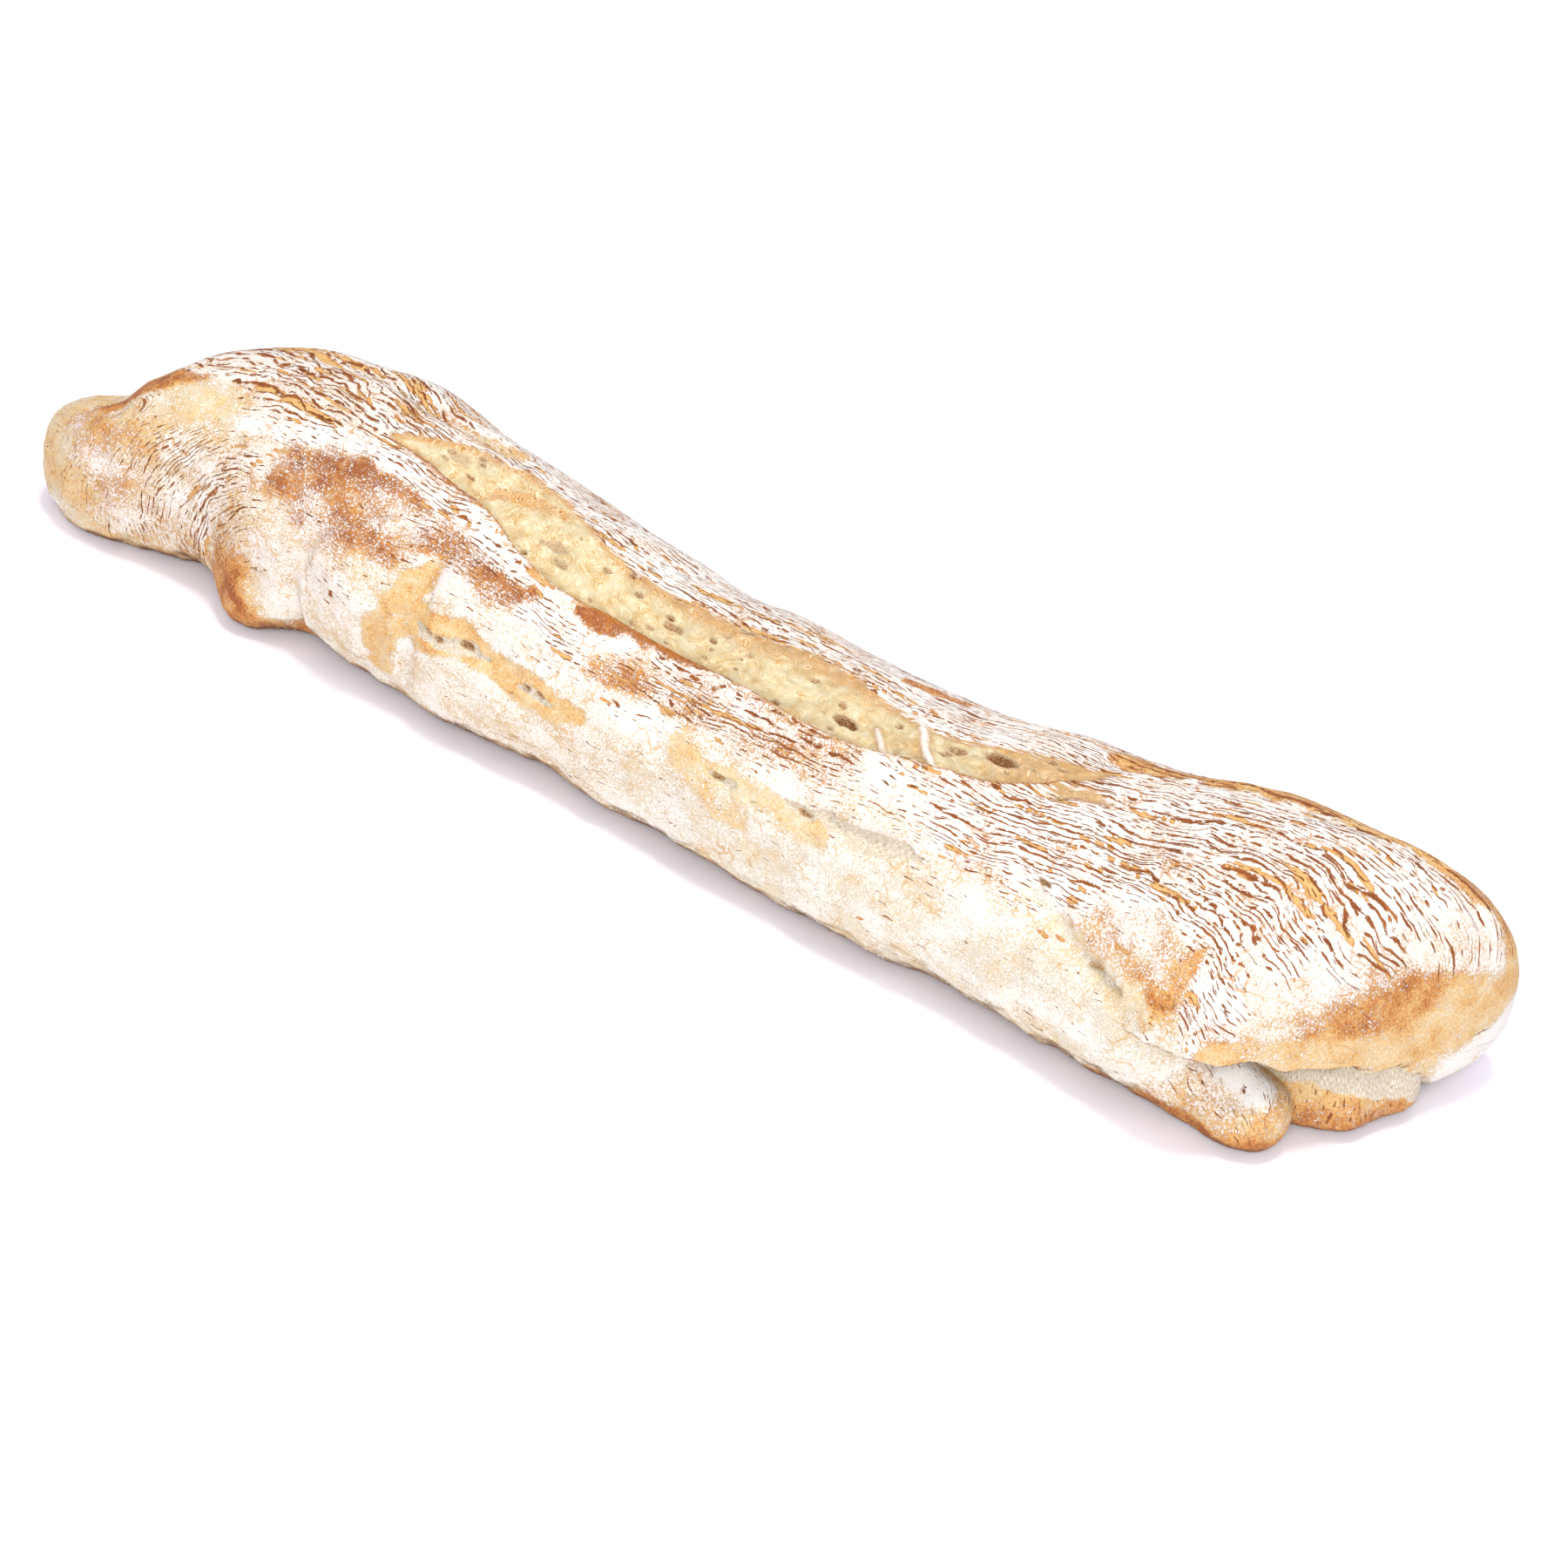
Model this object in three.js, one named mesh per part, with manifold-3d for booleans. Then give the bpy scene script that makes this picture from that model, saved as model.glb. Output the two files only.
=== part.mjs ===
// A rustic baguette, hand shaped and floured, lying on its flat underside.
// Millimetres, +Z up. The loaf lies along X: its far end is at -X, its near end
// at +X, and its front side faces -Y. The origin is under the middle of its box.

import * as THREE from 'three';
import { mergeVertices } from 'three/addons/utils/BufferGeometryUtils.js';
import Module from 'manifold-3d';

const wasm = await Module();
wasm.setup();

// Driving sizes of the hull
const LENGTH = 450;
const HALF = LENGTH / 2;
const FAR_END_ROUND = 30; // length over which the far end closes
const NEAR_END_ROUND = 36;
const FAR_END_BLUNT = 2.4; // power of the rounding: 2 is a circle, more is blunter
const NEAR_END_BLUNT = 3;
const FAR_END_CORE = { y: -30, z: 17 }; // where the far end closes
const NEAR_END_CORE = { y: 9, z: 20 };
const NEAR_SKEW = { from: 130, slope: 0.42, pivot: 23 }; // the front stops short of the rear
const TOP_POWER = 2.15; // roundness of the upper half of a section
const BELLY_POWER = 3; // the lower half is squarer, where it sagged on its underside
const BELT_SHARE = 0.42; // height of the widest line, as a share of the section's height
const SINK = 3; // how much of the rounded underside is pressed flat

// The hull's outline: front side, rear side and top line at stations along the loaf
const STATIONS = [
  { x: -225, front: -45, back: -14, top: 34 },
  { x: -205, front: -46, back: -11, top: 38 },
  { x: -190, front: -45, back: 5, top: 47 },
  { x: -175, front: -43, back: 20, top: 56 },
  { x: -150, front: -41, back: 34, top: 61 },
  { x: -127, front: -45, back: 38, top: 62 },
  { x: -105, front: -45, back: 36, top: 60 },
  { x: -63, front: -45, back: 35, top: 56 },
  { x: -35, front: -44, back: 31, top: 53 },
  { x: 7, front: -43, back: 30, top: 50 },
  { x: 51, front: -43, back: 31, top: 51 },
  { x: 94, front: -41, back: 34, top: 53 },
  { x: 136, front: -41, back: 42, top: 57 },
  { x: 168, front: -43, back: 46, top: 63 },
  { x: 195, front: -44, back: 48, top: 65 },
  { x: 225, front: -43, back: 49, top: 60 },
];

// The long burst in the crust: the angles of its two edges along the loaf.
// 0 is the rear side, 90 the top, 180 the front side, 270 the underside.
const BURST_FROM = -104;
const BURST_TO = 124;
const BURST_FRONT_EDGE = [[-104, 102], [-85, 100], [-70, 101], [-26, 115], [30, 115], [62, 120],
  [80, 111], [100, 108], [124, 92]];
const BURST_REAR_EDGE = [[-104, 98], [-89, 88], [-70, 76], [-47, 79], [-23, 85], [10, 91],
  [67, 93], [96, 88], [124, 82]];
const BURST_DEPTH = [[-104, 0], [-80, 2.2], [-45, 3], [0, 4.6], [35, 4.6], [70, 3], [105, 2.6],
  [124, 0]];
const BURST_FADE = 20; // length over which the lip rises at each end of the burst
const BURST_DIP = 1.5; // power of the dip across the crumb: more keeps its rear part shallow
const CREVICE_SHARE = 0.86; // the crevice under the lip, across the burst
const LIP_HEIGHT = 2.2; // the torn front edge stands up above the hull
const LIP_WIDTH = 9; // and falls back to it over this many degrees

// The slow unevenness that hand shaping leaves: waves along the loaf that lean round it
const WAVES = [
  { rise: 0.6, length: 21, lean: 2.1, start: 0 },
  { rise: 0.5, length: 11, lean: 1.7, start: 90 },
  { rise: 0.4, length: 7.3, lean: 2.6, start: 200 },
];

// Smaller tears and folds, as lines of [along, angle], each pressed in or raised
const DEGREE = 0.72; // millimetres on the crust for one degree round it
const CREASES = [
  { name: 'cheek', line: [[-110, 214], [-110, 178], [-102, 148], [-86, 126]], width: 7, depth: 2.6 },
  { name: 'jowl', line: [[-67, 190], [-64, 160], [-65, 133]], width: 6.5, depth: 1.8 },
  { name: 'oblique crack', line: [[130, 143], [152, 163], [170, 171]], width: 6, depth: 2 },
  { name: 'flap edge', line: [[186, 128], [194, 146], [206, 168]], width: 6, depth: 1.4 },
  { name: 'far rear tear', line: [[-150, 76], [-113, 74], [-77, 70]], width: 6, depth: 1.8 },
  { name: 'near rear tear', line: [[122, 70], [159, 66], [196, 62], [214, 52]], width: 6, depth: 2 },
  { name: 'nose fold', line: [[-200, 40], [-197, 95], [-190, 128]], width: 7, depth: 1.8 },
];
const SWELLINGS = [
  { name: 'cheek lobe', x: -88, angle: 163, long: 20, round: 34, rise: 2.6 },
  { name: 'foot lobe', x: -131, angle: 212, long: 22, round: 34, rise: 7.5 },
  { name: 'torn side', x: -40, angle: 160, long: 28, round: 14, rise: -1.8 },
  { name: 'side window', x: 84, angle: 153, long: 20, round: 9, rise: -2 },
  { name: 'small burst', x: 118, angle: 101, long: 8, round: 6, rise: -1.6 },
];

// The near end is folded: the upper dough hangs over a tongue and a rolled foot
const FOLD_HEIGHT = [[-45, 29], [-28, 26], [-5, 20], [7, 15], [15, 9], [22, 0]]; // [y, z]
const FOLD_FROM = 160; // the fold starts here along the front side
const FOLD_FULL = 192;
const FOLD_REAR = { from: 16, to: 24 }; // and runs round the end until it fades over these y
const FOLD_INSET = 0.2; // how far the hull is drawn in below the fold, as a share
const FOLD_EDGE = 5; // height over which that sets in
const FOLD_CORE = { x: 160, y: 14 }; // it is drawn in towards this point
const TONGUE = { x: 189, y: 7, long: 28.5, wide: 25, belt: 7, height: 25, power: 2.6 };
const TONGUE_RIPPLES = [{ share: 0.03, folds: 5, start: 0 }, { share: 0.02, folds: 9, start: 57 }];
const ROLL = {
  from: { x: 156, y: -23.5, radius: 15 },
  to: { x: 193.5, y: -24.5, radius: 9.5 },
  sink: 1.5,
};

// Fineness of the mesh
const BODY_RINGS = 86;
const CAP_RINGS = 8;
const RING_SPANS = { bottomRear: 5, rear: 11, crumb: 6, front: 15, bottomFront: 6 };
const BOTTOM = 270;
const REAR_HIP = -24; // the ring's corners at the foot of the rear and front sides
const FRONT_HIP = 206;
const TONGUE_MESH = { rings: 12, around: 36 };
const ROLL_MESH = { rings: 18, around: 22 };
const SLIVER = 0.02; // slivers thinner than this, left by joining, are closed up

const GROUND_BLOCK = { long: LENGTH + 60, wide: 160, deep: 20 };
const CRUST = { color: 0xe9cfa8, roughness: 0.85, metalness: 0 };

const RADIAN = Math.PI / 180;

function smoothStep(from, to, value) {
  const share = THREE.MathUtils.clamp((value - from) / (to - from), 0, 1);
  return share * share * (3 - 2 * share);
}

// A rounded hill: 1 in the middle, 0 from a distance of 1 outwards
function hill(distance) {
  const inside = Math.max(0, 1 - distance * distance);
  return inside * inside;
}

// A smooth line through [position, value] pairs that never overshoots them
function through(pairs, position) {
  const last = pairs.length - 1;
  if (position <= pairs[0][0]) return pairs[0][1];
  if (position >= pairs[last][0]) return pairs[last][1];
  const slopes = pairs.slice(1).map((pair, i) => (pair[1] - pairs[i][1]) / (pair[0] - pairs[i][0]));
  const slopeAt = (i) => {
    if (i === 0) return slopes[0];
    if (i === last) return slopes[last - 1];
    const before = slopes[i - 1];
    const after = slopes[i];
    return before * after > 0 ? (2 * before * after) / (before + after) : 0;
  };
  const i = pairs.findIndex((pair) => pair[0] > position) - 1;
  const span = pairs[i + 1][0] - pairs[i][0];
  const t = (position - pairs[i][0]) / span;
  return (2 * t ** 3 - 3 * t ** 2 + 1) * pairs[i][1]
    + (t ** 3 - 2 * t ** 2 + t) * span * slopeAt(i)
    + (3 * t ** 2 - 2 * t ** 3) * pairs[i + 1][1]
    + (t ** 3 - t ** 2) * span * slopeAt(i + 1);
}

const column = (key) => STATIONS.map((station) => [station.x, station[key]]);
const FRONT_LINE = column('front');
const BACK_LINE = column('back');
const TOP_LINE = column('top');

// How far a section has grown at a distance from the end it closes at
function endRounding(distance, round, power) {
  const share = THREE.MathUtils.clamp(distance / round, 0, 1);
  return (1 - (1 - share) ** power) ** (1 / power);
}

function unevenness(along, angle) {
  let height = 0;
  for (const wave of WAVES) {
    const lean = wave.lean * Math.cos((angle + wave.start) * RADIAN);
    height += wave.rise * Math.sin(along / wave.length + lean);
  }
  return height;
}

// Distance on the crust from a point to a line of [along, angle] pairs, in millimetres
function distanceToLine(line, along, angle) {
  let nearest = Infinity;
  for (let i = 0; i + 1 < line.length; i += 1) {
    const start = new THREE.Vector2(line[i][0], line[i][1] * DEGREE);
    const leg = new THREE.Vector2(line[i + 1][0], line[i + 1][1] * DEGREE).sub(start);
    const point = new THREE.Vector2(along, angle * DEGREE).sub(start);
    const share = THREE.MathUtils.clamp(point.dot(leg) / leg.lengthSq(), 0, 1);
    nearest = Math.min(nearest, point.distanceTo(leg.multiplyScalar(share)));
  }
  return nearest;
}

// The burst: the crumb dips towards its front edge, where the torn lip stands up
function burstRelief(along, angle) {
  if (along <= BURST_FROM || along >= BURST_TO) return 0;
  const front = through(BURST_FRONT_EDGE, along);
  const rear = through(BURST_REAR_EDGE, along);
  const depth = through(BURST_DEPTH, along);
  const lip = LIP_HEIGHT * smoothStep(BURST_FROM, BURST_FROM + BURST_FADE, along)
    * (1 - smoothStep(BURST_TO - BURST_FADE, BURST_TO, along));
  const across = (angle - rear) / (front - rear);
  if (across < 0) return 0;
  if (across < CREVICE_SHARE) {
    return -depth * (across / CREVICE_SHARE) ** BURST_DIP;
  }
  if (across < 1) {
    const climb = (across - CREVICE_SHARE) / (1 - CREVICE_SHARE);
    return THREE.MathUtils.lerp(-depth, lip, climb);
  }
  return lip * (1 - smoothStep(0, LIP_WIDTH, angle - front));
}

function relief(along, angle) {
  let height = unevenness(along, angle) + burstRelief(along, angle);
  for (const crease of CREASES) {
    height -= crease.depth * hill(distanceToLine(crease.line, along, angle) / crease.width);
  }
  for (const swelling of SWELLINGS) {
    const off = Math.hypot((along - swelling.x) / swelling.long,
      (angle - swelling.angle) / swelling.round);
    height += swelling.rise * hill(off);
  }
  return height;
}

// Below the fold the near end is drawn in, which leaves room for tongue and roll
function drawInBelowFold(point) {
  const ceiling = through(FOLD_HEIGHT, point.y);
  const below = 1 - smoothStep(ceiling - FOLD_EDGE, ceiling, point.z);
  const share = below * smoothStep(FOLD_FROM, FOLD_FULL, point.x)
    * (1 - smoothStep(FOLD_REAR.from, FOLD_REAR.to, point.y));
  point.x += (FOLD_CORE.x - point.x) * FOLD_INSET * share;
  point.y += (FOLD_CORE.y - point.y) * FOLD_INSET * share;
  return point;
}

// A point of the hull, with its relief, at a station and an angle round the section
function hullPoint(along, angle) {
  const front = through(FRONT_LINE, along);
  const back = through(BACK_LINE, along);
  const top = through(TOP_LINE, along);
  const middle = (front + back) / 2;
  const belt = BELT_SHARE * top;
  const cos = Math.cos(angle * RADIAN);
  const sin = Math.sin(angle * RADIAN);
  const power = 2 / (sin >= 0 ? TOP_POWER : BELLY_POWER);
  let y = middle + ((back - front) / 2) * Math.sign(cos) * Math.abs(cos) ** power;
  let z = belt + (sin >= 0 ? top - belt : belt + SINK) * Math.sign(sin) * Math.abs(sin) ** power;

  const lift = relief(along, angle) / Math.hypot(y - middle, z - belt);
  y += (y - middle) * lift;
  z += (z - belt) * lift;

  const farShare = endRounding(along + HALF, FAR_END_ROUND, FAR_END_BLUNT);
  const nearShare = endRounding(HALF - along, NEAR_END_ROUND, NEAR_END_BLUNT);
  const core = along < 0 ? FAR_END_CORE : NEAR_END_CORE;
  const share = farShare * nearShare;
  y = THREE.MathUtils.lerp(core.y, y, share);
  z = THREE.MathUtils.lerp(core.z, z, share);

  const skew = NEAR_SKEW.slope * smoothStep(NEAR_SKEW.from, HALF, along) ** 2;
  const point = new THREE.Vector3(along + skew * (y - middle - NEAR_SKEW.pivot), y, z);
  return drawInBelowFold(point);
}

function evenly(from, to, count) {
  return Array.from({ length: count }, (_, i) => from + ((to - from) * i) / count);
}

// The angles of one ring: its lines keep to the two edges of the burst
function ringAngles(along) {
  const front = through(BURST_FRONT_EDGE, along);
  const rear = through(BURST_REAR_EDGE, along);
  const crevice = THREE.MathUtils.lerp(rear, front, CREVICE_SHARE);
  return [
    ...evenly(BOTTOM - 360, REAR_HIP, RING_SPANS.bottomRear),
    ...evenly(REAR_HIP, rear, RING_SPANS.rear),
    ...evenly(rear, crevice, RING_SPANS.crumb),
    crevice,
    ...evenly(front, FRONT_HIP, RING_SPANS.front),
    ...evenly(FRONT_HIP, BOTTOM, RING_SPANS.bottomFront),
  ];
}

// Stations of the hull's rings: even along the loaf, and round the curve of each end
function ringStations() {
  const capRounds = evenly(0, 90, CAP_RINGS).slice(1).map((turn) => 1 - Math.cos(turn * RADIAN));
  return [
    ...capRounds.map((share) => FAR_END_ROUND * share - HALF),
    ...evenly(FAR_END_ROUND - HALF, HALF - NEAR_END_ROUND, BODY_RINGS),
    ...[1, ...capRounds.reverse()].map((share) => HALF - NEAR_END_ROUND * share),
  ];
}

// A closed skin over rings of points, with one pole point at each end
function closedSkin(rings, firstPole, lastPole) {
  const size = rings[0].length;
  const points = [firstPole, ...rings.flat(), lastPole];
  const last = points.length - 1;
  const at = (ring, i) => 1 + ring * size + (i % size);
  const faces = [];
  for (let i = 0; i < size; i += 1) {
    faces.push(0, at(0, i + 1), at(0, i));
    faces.push(last, at(rings.length - 1, i), at(rings.length - 1, i + 1));
    for (let ring = 0; ring + 1 < rings.length; ring += 1) {
      faces.push(at(ring, i), at(ring, i + 1), at(ring + 1, i + 1));
      faces.push(at(ring, i), at(ring + 1, i + 1), at(ring + 1, i));
    }
  }
  const geometry = new THREE.BufferGeometry();
  const flat = points.flatMap((point) => [point.x, point.y, point.z]);
  geometry.setAttribute('position', new THREE.Float32BufferAttribute(flat, 3));
  geometry.setIndex(faces);
  return geometry;
}

function hullGeometry() {
  const ringAt = (along) => ringAngles(along).map((angle) => hullPoint(along, angle));
  return closedSkin(ringStations().map(ringAt), hullPoint(-HALF, 0), hullPoint(HALF, 0));
}

function tongueRipple(turn) {
  let ripple = 1;
  for (const wave of TONGUE_RIPPLES) {
    ripple += wave.share * Math.sin((wave.folds * turn + wave.start) * RADIAN);
  }
  return ripple;
}

// A dome with a rounded foot, its rings stacked from the underside to the crown
function tongueGeometry() {
  const rings = [];
  for (let ring = 1; ring < TONGUE_MESH.rings; ring += 1) {
    const climb = THREE.MathUtils.lerp(-90, 90, ring / TONGUE_MESH.rings) * RADIAN;
    const spread = Math.cos(climb) ** (2 / TONGUE.power);
    const height = Math.sign(climb) * Math.abs(Math.sin(climb)) ** (2 / TONGUE.power);
    const half = height > 0 ? TONGUE.height - TONGUE.belt : TONGUE.belt + SINK;
    rings.push(evenly(0, 360, TONGUE_MESH.around).map((turn) => {
      const reach = spread * tongueRipple(turn);
      return new THREE.Vector3(
        TONGUE.x + TONGUE.long * reach * Math.cos(turn * RADIAN),
        TONGUE.y + TONGUE.wide * reach * Math.sin(turn * RADIAN),
        TONGUE.belt + half * height,
      );
    }));
  }
  return closedSkin(rings, new THREE.Vector3(TONGUE.x, TONGUE.y, -SINK),
    new THREE.Vector3(TONGUE.x, TONGUE.y, TONGUE.height));
}

// The rolled foot along the front: a tapered sausage with a blunt tip at its near end
function rollGeometry() {
  const { from, to, sink } = ROLL;
  const start = new THREE.Vector3(from.x, from.y, from.radius - sink);
  const end = new THREE.Vector3(to.x, to.y, to.radius - sink);
  const length = start.distanceTo(end);
  const axis = end.clone().sub(start).normalize();
  const side = new THREE.Vector3(-axis.y, axis.x, 0).normalize();
  const up = axis.clone().cross(side);
  const reach = from.radius + length + to.radius;
  const rings = [];
  for (let ring = 1; ring < ROLL_MESH.rings; ring += 1) {
    const place = (reach * (1 - Math.cos((Math.PI * ring) / ROLL_MESH.rings))) / 2 - from.radius;
    const share = THREE.MathUtils.clamp(place / length, 0, 1);
    const full = THREE.MathUtils.lerp(from.radius, to.radius, share);
    const past = Math.max(0, -place, place - length) / full;
    const radius = full * Math.sqrt(Math.max(0, 1 - past * past));
    rings.push(evenly(0, 360, ROLL_MESH.around).map((turn) => start.clone()
      .addScaledVector(axis, place)
      .addScaledVector(side, radius * Math.cos(turn * RADIAN))
      .addScaledVector(up, radius * Math.sin(turn * RADIAN))));
  }
  return closedSkin(rings, start.clone().addScaledVector(axis, -from.radius),
    end.clone().addScaledVector(axis, to.radius));
}

function solidOf(geometry) {
  const merged = mergeVertices(geometry, 1e-3);
  return new wasm.Manifold(new wasm.Mesh({
    numProp: 3,
    vertProperties: Float32Array.from(merged.attributes.position.array),
    triVerts: Uint32Array.from(merged.index.array),
  }));
}

function geometryOf(solid) {
  const mesh = solid.getMesh();
  const geometry = new THREE.BufferGeometry();
  geometry.setAttribute('position', new THREE.BufferAttribute(mesh.vertProperties, 3));
  geometry.setIndex(new THREE.BufferAttribute(mesh.triVerts, 1));
  geometry.computeVertexNormals();
  return geometry;
}

// Joining can seal a small hollow between two pieces: only the outer shell is kept
function outerShell(solid) {
  const shells = solid.decompose();
  return shells.reduce((widest, shell) => (shell.volume() > widest.volume() ? shell : widest));
}

// The flat face it rests on: everything below z = 0 is cut away
function restingCut() {
  const { long, wide, deep } = GROUND_BLOCK;
  const block = new THREE.BoxGeometry(long, wide, deep).translate(0, 0, -deep / 2);
  block.deleteAttribute('normal');
  block.deleteAttribute('uv');
  return solidOf(block);
}

function loafMesh() {
  const dough = solidOf(hullGeometry())
    .add(solidOf(tongueGeometry()))
    .add(solidOf(rollGeometry()));
  const solid = outerShell(dough.subtract(restingCut())).simplify(SLIVER);
  const mesh = new THREE.Mesh(geometryOf(solid), new THREE.MeshStandardMaterial(CRUST));
  mesh.name = 'loaf';
  return mesh;
}

const baguette = new THREE.Group();
baguette.add(loafMesh());

export default baguette;
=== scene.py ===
import itertools
import math

import bmesh
import bpy
import numpy as np
from mathutils import Matrix, Vector


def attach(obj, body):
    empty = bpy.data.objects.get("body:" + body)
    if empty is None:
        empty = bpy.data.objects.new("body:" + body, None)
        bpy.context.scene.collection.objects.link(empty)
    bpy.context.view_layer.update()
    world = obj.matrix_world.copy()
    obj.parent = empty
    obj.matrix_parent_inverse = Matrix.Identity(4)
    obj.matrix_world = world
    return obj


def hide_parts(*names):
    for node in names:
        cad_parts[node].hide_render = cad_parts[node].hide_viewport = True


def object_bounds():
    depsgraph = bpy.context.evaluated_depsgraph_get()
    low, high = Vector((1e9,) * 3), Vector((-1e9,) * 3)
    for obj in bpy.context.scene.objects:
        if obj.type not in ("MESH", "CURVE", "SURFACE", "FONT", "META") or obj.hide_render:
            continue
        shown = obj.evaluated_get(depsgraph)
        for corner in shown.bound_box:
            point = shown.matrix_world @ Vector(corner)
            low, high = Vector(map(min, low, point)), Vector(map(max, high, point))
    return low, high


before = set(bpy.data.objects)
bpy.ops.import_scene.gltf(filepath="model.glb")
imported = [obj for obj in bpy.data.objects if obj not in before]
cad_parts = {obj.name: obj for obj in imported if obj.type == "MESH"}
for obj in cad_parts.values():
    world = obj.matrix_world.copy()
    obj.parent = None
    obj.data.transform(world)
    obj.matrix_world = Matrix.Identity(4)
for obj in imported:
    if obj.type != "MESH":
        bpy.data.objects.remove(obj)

# The loaf is worked out in millimetres and turned into metres where its mesh is made.
# It lies along X with its far end at -X, and its front side faces -Y.

MM = 0.001
CAD_LOW, CAD_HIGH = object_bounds()
LENGTH = round((CAD_HIGH.x - CAD_LOW.x) / MM)
HALF = LENGTH / 2

# Sizes that the hull shares with the solid that it stands for
FAR_END_ROUND = 30
NEAR_END_ROUND = 36
FAR_END_BLUNT = 2.4
NEAR_END_BLUNT = 3
FAR_END_CORE = (-30, 17)
NEAR_END_CORE = (9, 20)
NEAR_SKEW = {"from": 130, "slope": 0.42, "pivot": 23}
TOP_POWER = 2.15
BELLY_POWER = 3
BELT_SHARE = 0.42
SINK = 3

# Outline: (along, front side, rear side, top)
STATIONS = [
    (-225, -45, -14, 34),
    (-205, -46, -11, 38),
    (-190, -45, 5, 47),
    (-175, -43, 20, 56),
    (-150, -41, 34, 61),
    (-127, -45, 38, 62),
    (-105, -45, 36, 60),
    (-63, -45, 35, 56),
    (-35, -44, 31, 53),
    (7, -43, 30, 50),
    (51, -43, 31, 51),
    (94, -41, 34, 53),
    (136, -41, 42, 57),
    (168, -43, 46, 63),
    (195, -44, 48, 65),
    (225, -43, 49, 60),
]

# Angles round a section: 0 is the rear side, 90 the top, 180 the front side, 270 the underside
BURST_FROM = -104
BURST_TO = 124
BURST_FRONT_EDGE = [(-104, 101), (-92, 102), (-82, 104), (-66, 107), (-56, 111), (-46, 116), (-28, 120),
                    (-12, 118), (24, 118), (57, 121), (70, 120), (81, 116), (100, 111), (108, 108),
                    (116, 97), (124, 88)]
BURST_REAR_EDGE = [(-104, 97), (-95, 90), (-87, 83), (-77, 78), (-68, 74), (-58, 74), (-46, 79),
                   (-31, 86), (-18, 88), (7, 87), (28, 85), (41, 84), (58, 87), (68, 90), (88, 93),
                   (98, 90), (108, 86), (124, 82)]
BURST_DEPTH = [(-104, 0), (-80, 2.2), (-45, 3), (0, 4.6), (35, 4.6), (70, 3), (105, 2.6), (124, 0)]
BURST_FADE = 20
BURST_DIP = 1.5
CREVICE_SHARE = 0.93
LIP_HEIGHT = 2.2
LIP_WIDTH = 9
LIP_CURL = 3.2  # degrees by which the lip leans over the crevice
CURL_GROWS = (-95, -55)
CURL_FADES = (60, 105)
CURL_INSIDE = 2.5
CURL_OUTSIDE = 0.8 * LIP_WIDTH

WAVES = [
    {"rise": 0.6, "length": 21, "lean": 2.1, "start": 0},
    {"rise": 0.5, "length": 11, "lean": 1.7, "start": 90},
    {"rise": 0.4, "length": 7.3, "lean": 2.6, "start": 200},
]

DEGREE = 0.72  # millimetres on the crust for one degree round it

# Noises: height, size along each coordinate, layers, seed
NOISES = {
    "edge of the burst": (1, (5, 3), 3, 3),
    "pit edges": (0.25, (1.8, 1.3), 1, 11),
    "broad patch edges": (2.5, (14, 9), 3, 41),
    "patch edges": (2, (5, 3.5), 3, 45),
    "fine patch edges": (0.9, (1.8, 1.8), 2, 48),
    "end patch edges": (2, (6, 6, 6), 3, 111),
    "shift round the crust": (4, (11, 11), 3, 51),
    "broad lumps": (0.6, (15, 11), 2, 89),
    "lumps low down": (0.9, (7, 11), 3, 87),
    "crumb bumps": (0.225, (5, 3.5), 3, 91),
    "lean of the fibres": (0.6, (14, 9), 2, 93),
    "flour skin": (0.22, (5, 2.2), 3, 101),
    "sway of the splits": (1, (15, 8), 3, 75),
    "large splits": (1, (18, 1.4), 2, 71),
    "small splits": (1, (11, 0.9), 2, 75),
    "where splits are": (0.3, (30, 12), 2, 81),
    "tongue skin": (0.35, (9, 5), 3, 121),
    "fine tongue skin": (0.2, (4, 2), 3, 125),
    "tongue wobble": (1, (12, 6), 3, 131),
    "tongue streaks": (1, (5, 14), 3, 135),
    "roll skin": (1.3, (9, 45), 2, 141),
    "fine roll skin": (0.35, (3, 14), 3, 145),
    "roll wobble": (1, (6, 40), 3, 151),
}

PATCH_EDGES = ("broad patch edges", "patch edges", "fine patch edges")

# Creases and swellings of the crust by (along, angle), in millimetres, and the swellings' reach in degrees
CREASES = {
    "cheek": {"line": [(-110, 214), (-110, 178), (-102, 148), (-86, 126)], "width": 5, "depth": 2},
    "jowl": {"line": [(-67, 190), (-64, 160), (-65, 133)], "width": 6.5, "depth": 1.8},
    "oblique crack": {"line": [(130, 143), (152, 163), (170, 171)], "width": 6, "depth": 2},
    "flap edge": {"line": [(186, 128), (194, 146), (206, 168)], "width": 6, "depth": 1.4},
    "far rear tear": {"line": [(-150, 76), (-113, 74), (-77, 70)], "width": 6, "depth": 1.8},
    "near rear tear": {"line": [(122, 70), (159, 66), (196, 62), (214, 52)], "width": 6, "depth": 2},
    "nose fold": {"line": [(-200, 40), (-197, 95), (-190, 128)], "width": 7, "depth": 1.8},
}
SWELLINGS = {
    "cheek lobe": {"at": (-88, 163), "long": 20, "round": 34, "rise": 2.6},
    "foot lobe": {"at": (-131, 212), "long": 22, "round": 34, "rise": 7.5},
    "torn side": {"at": (-40, 160), "long": 28, "round": 14, "rise": -1.8},
    "side window": {"at": (84, 153), "long": 20, "round": 9, "rise": -2},
    "small burst": {"at": (118, 101), "long": 8, "round": 6, "rise": -1.6},
}

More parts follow.
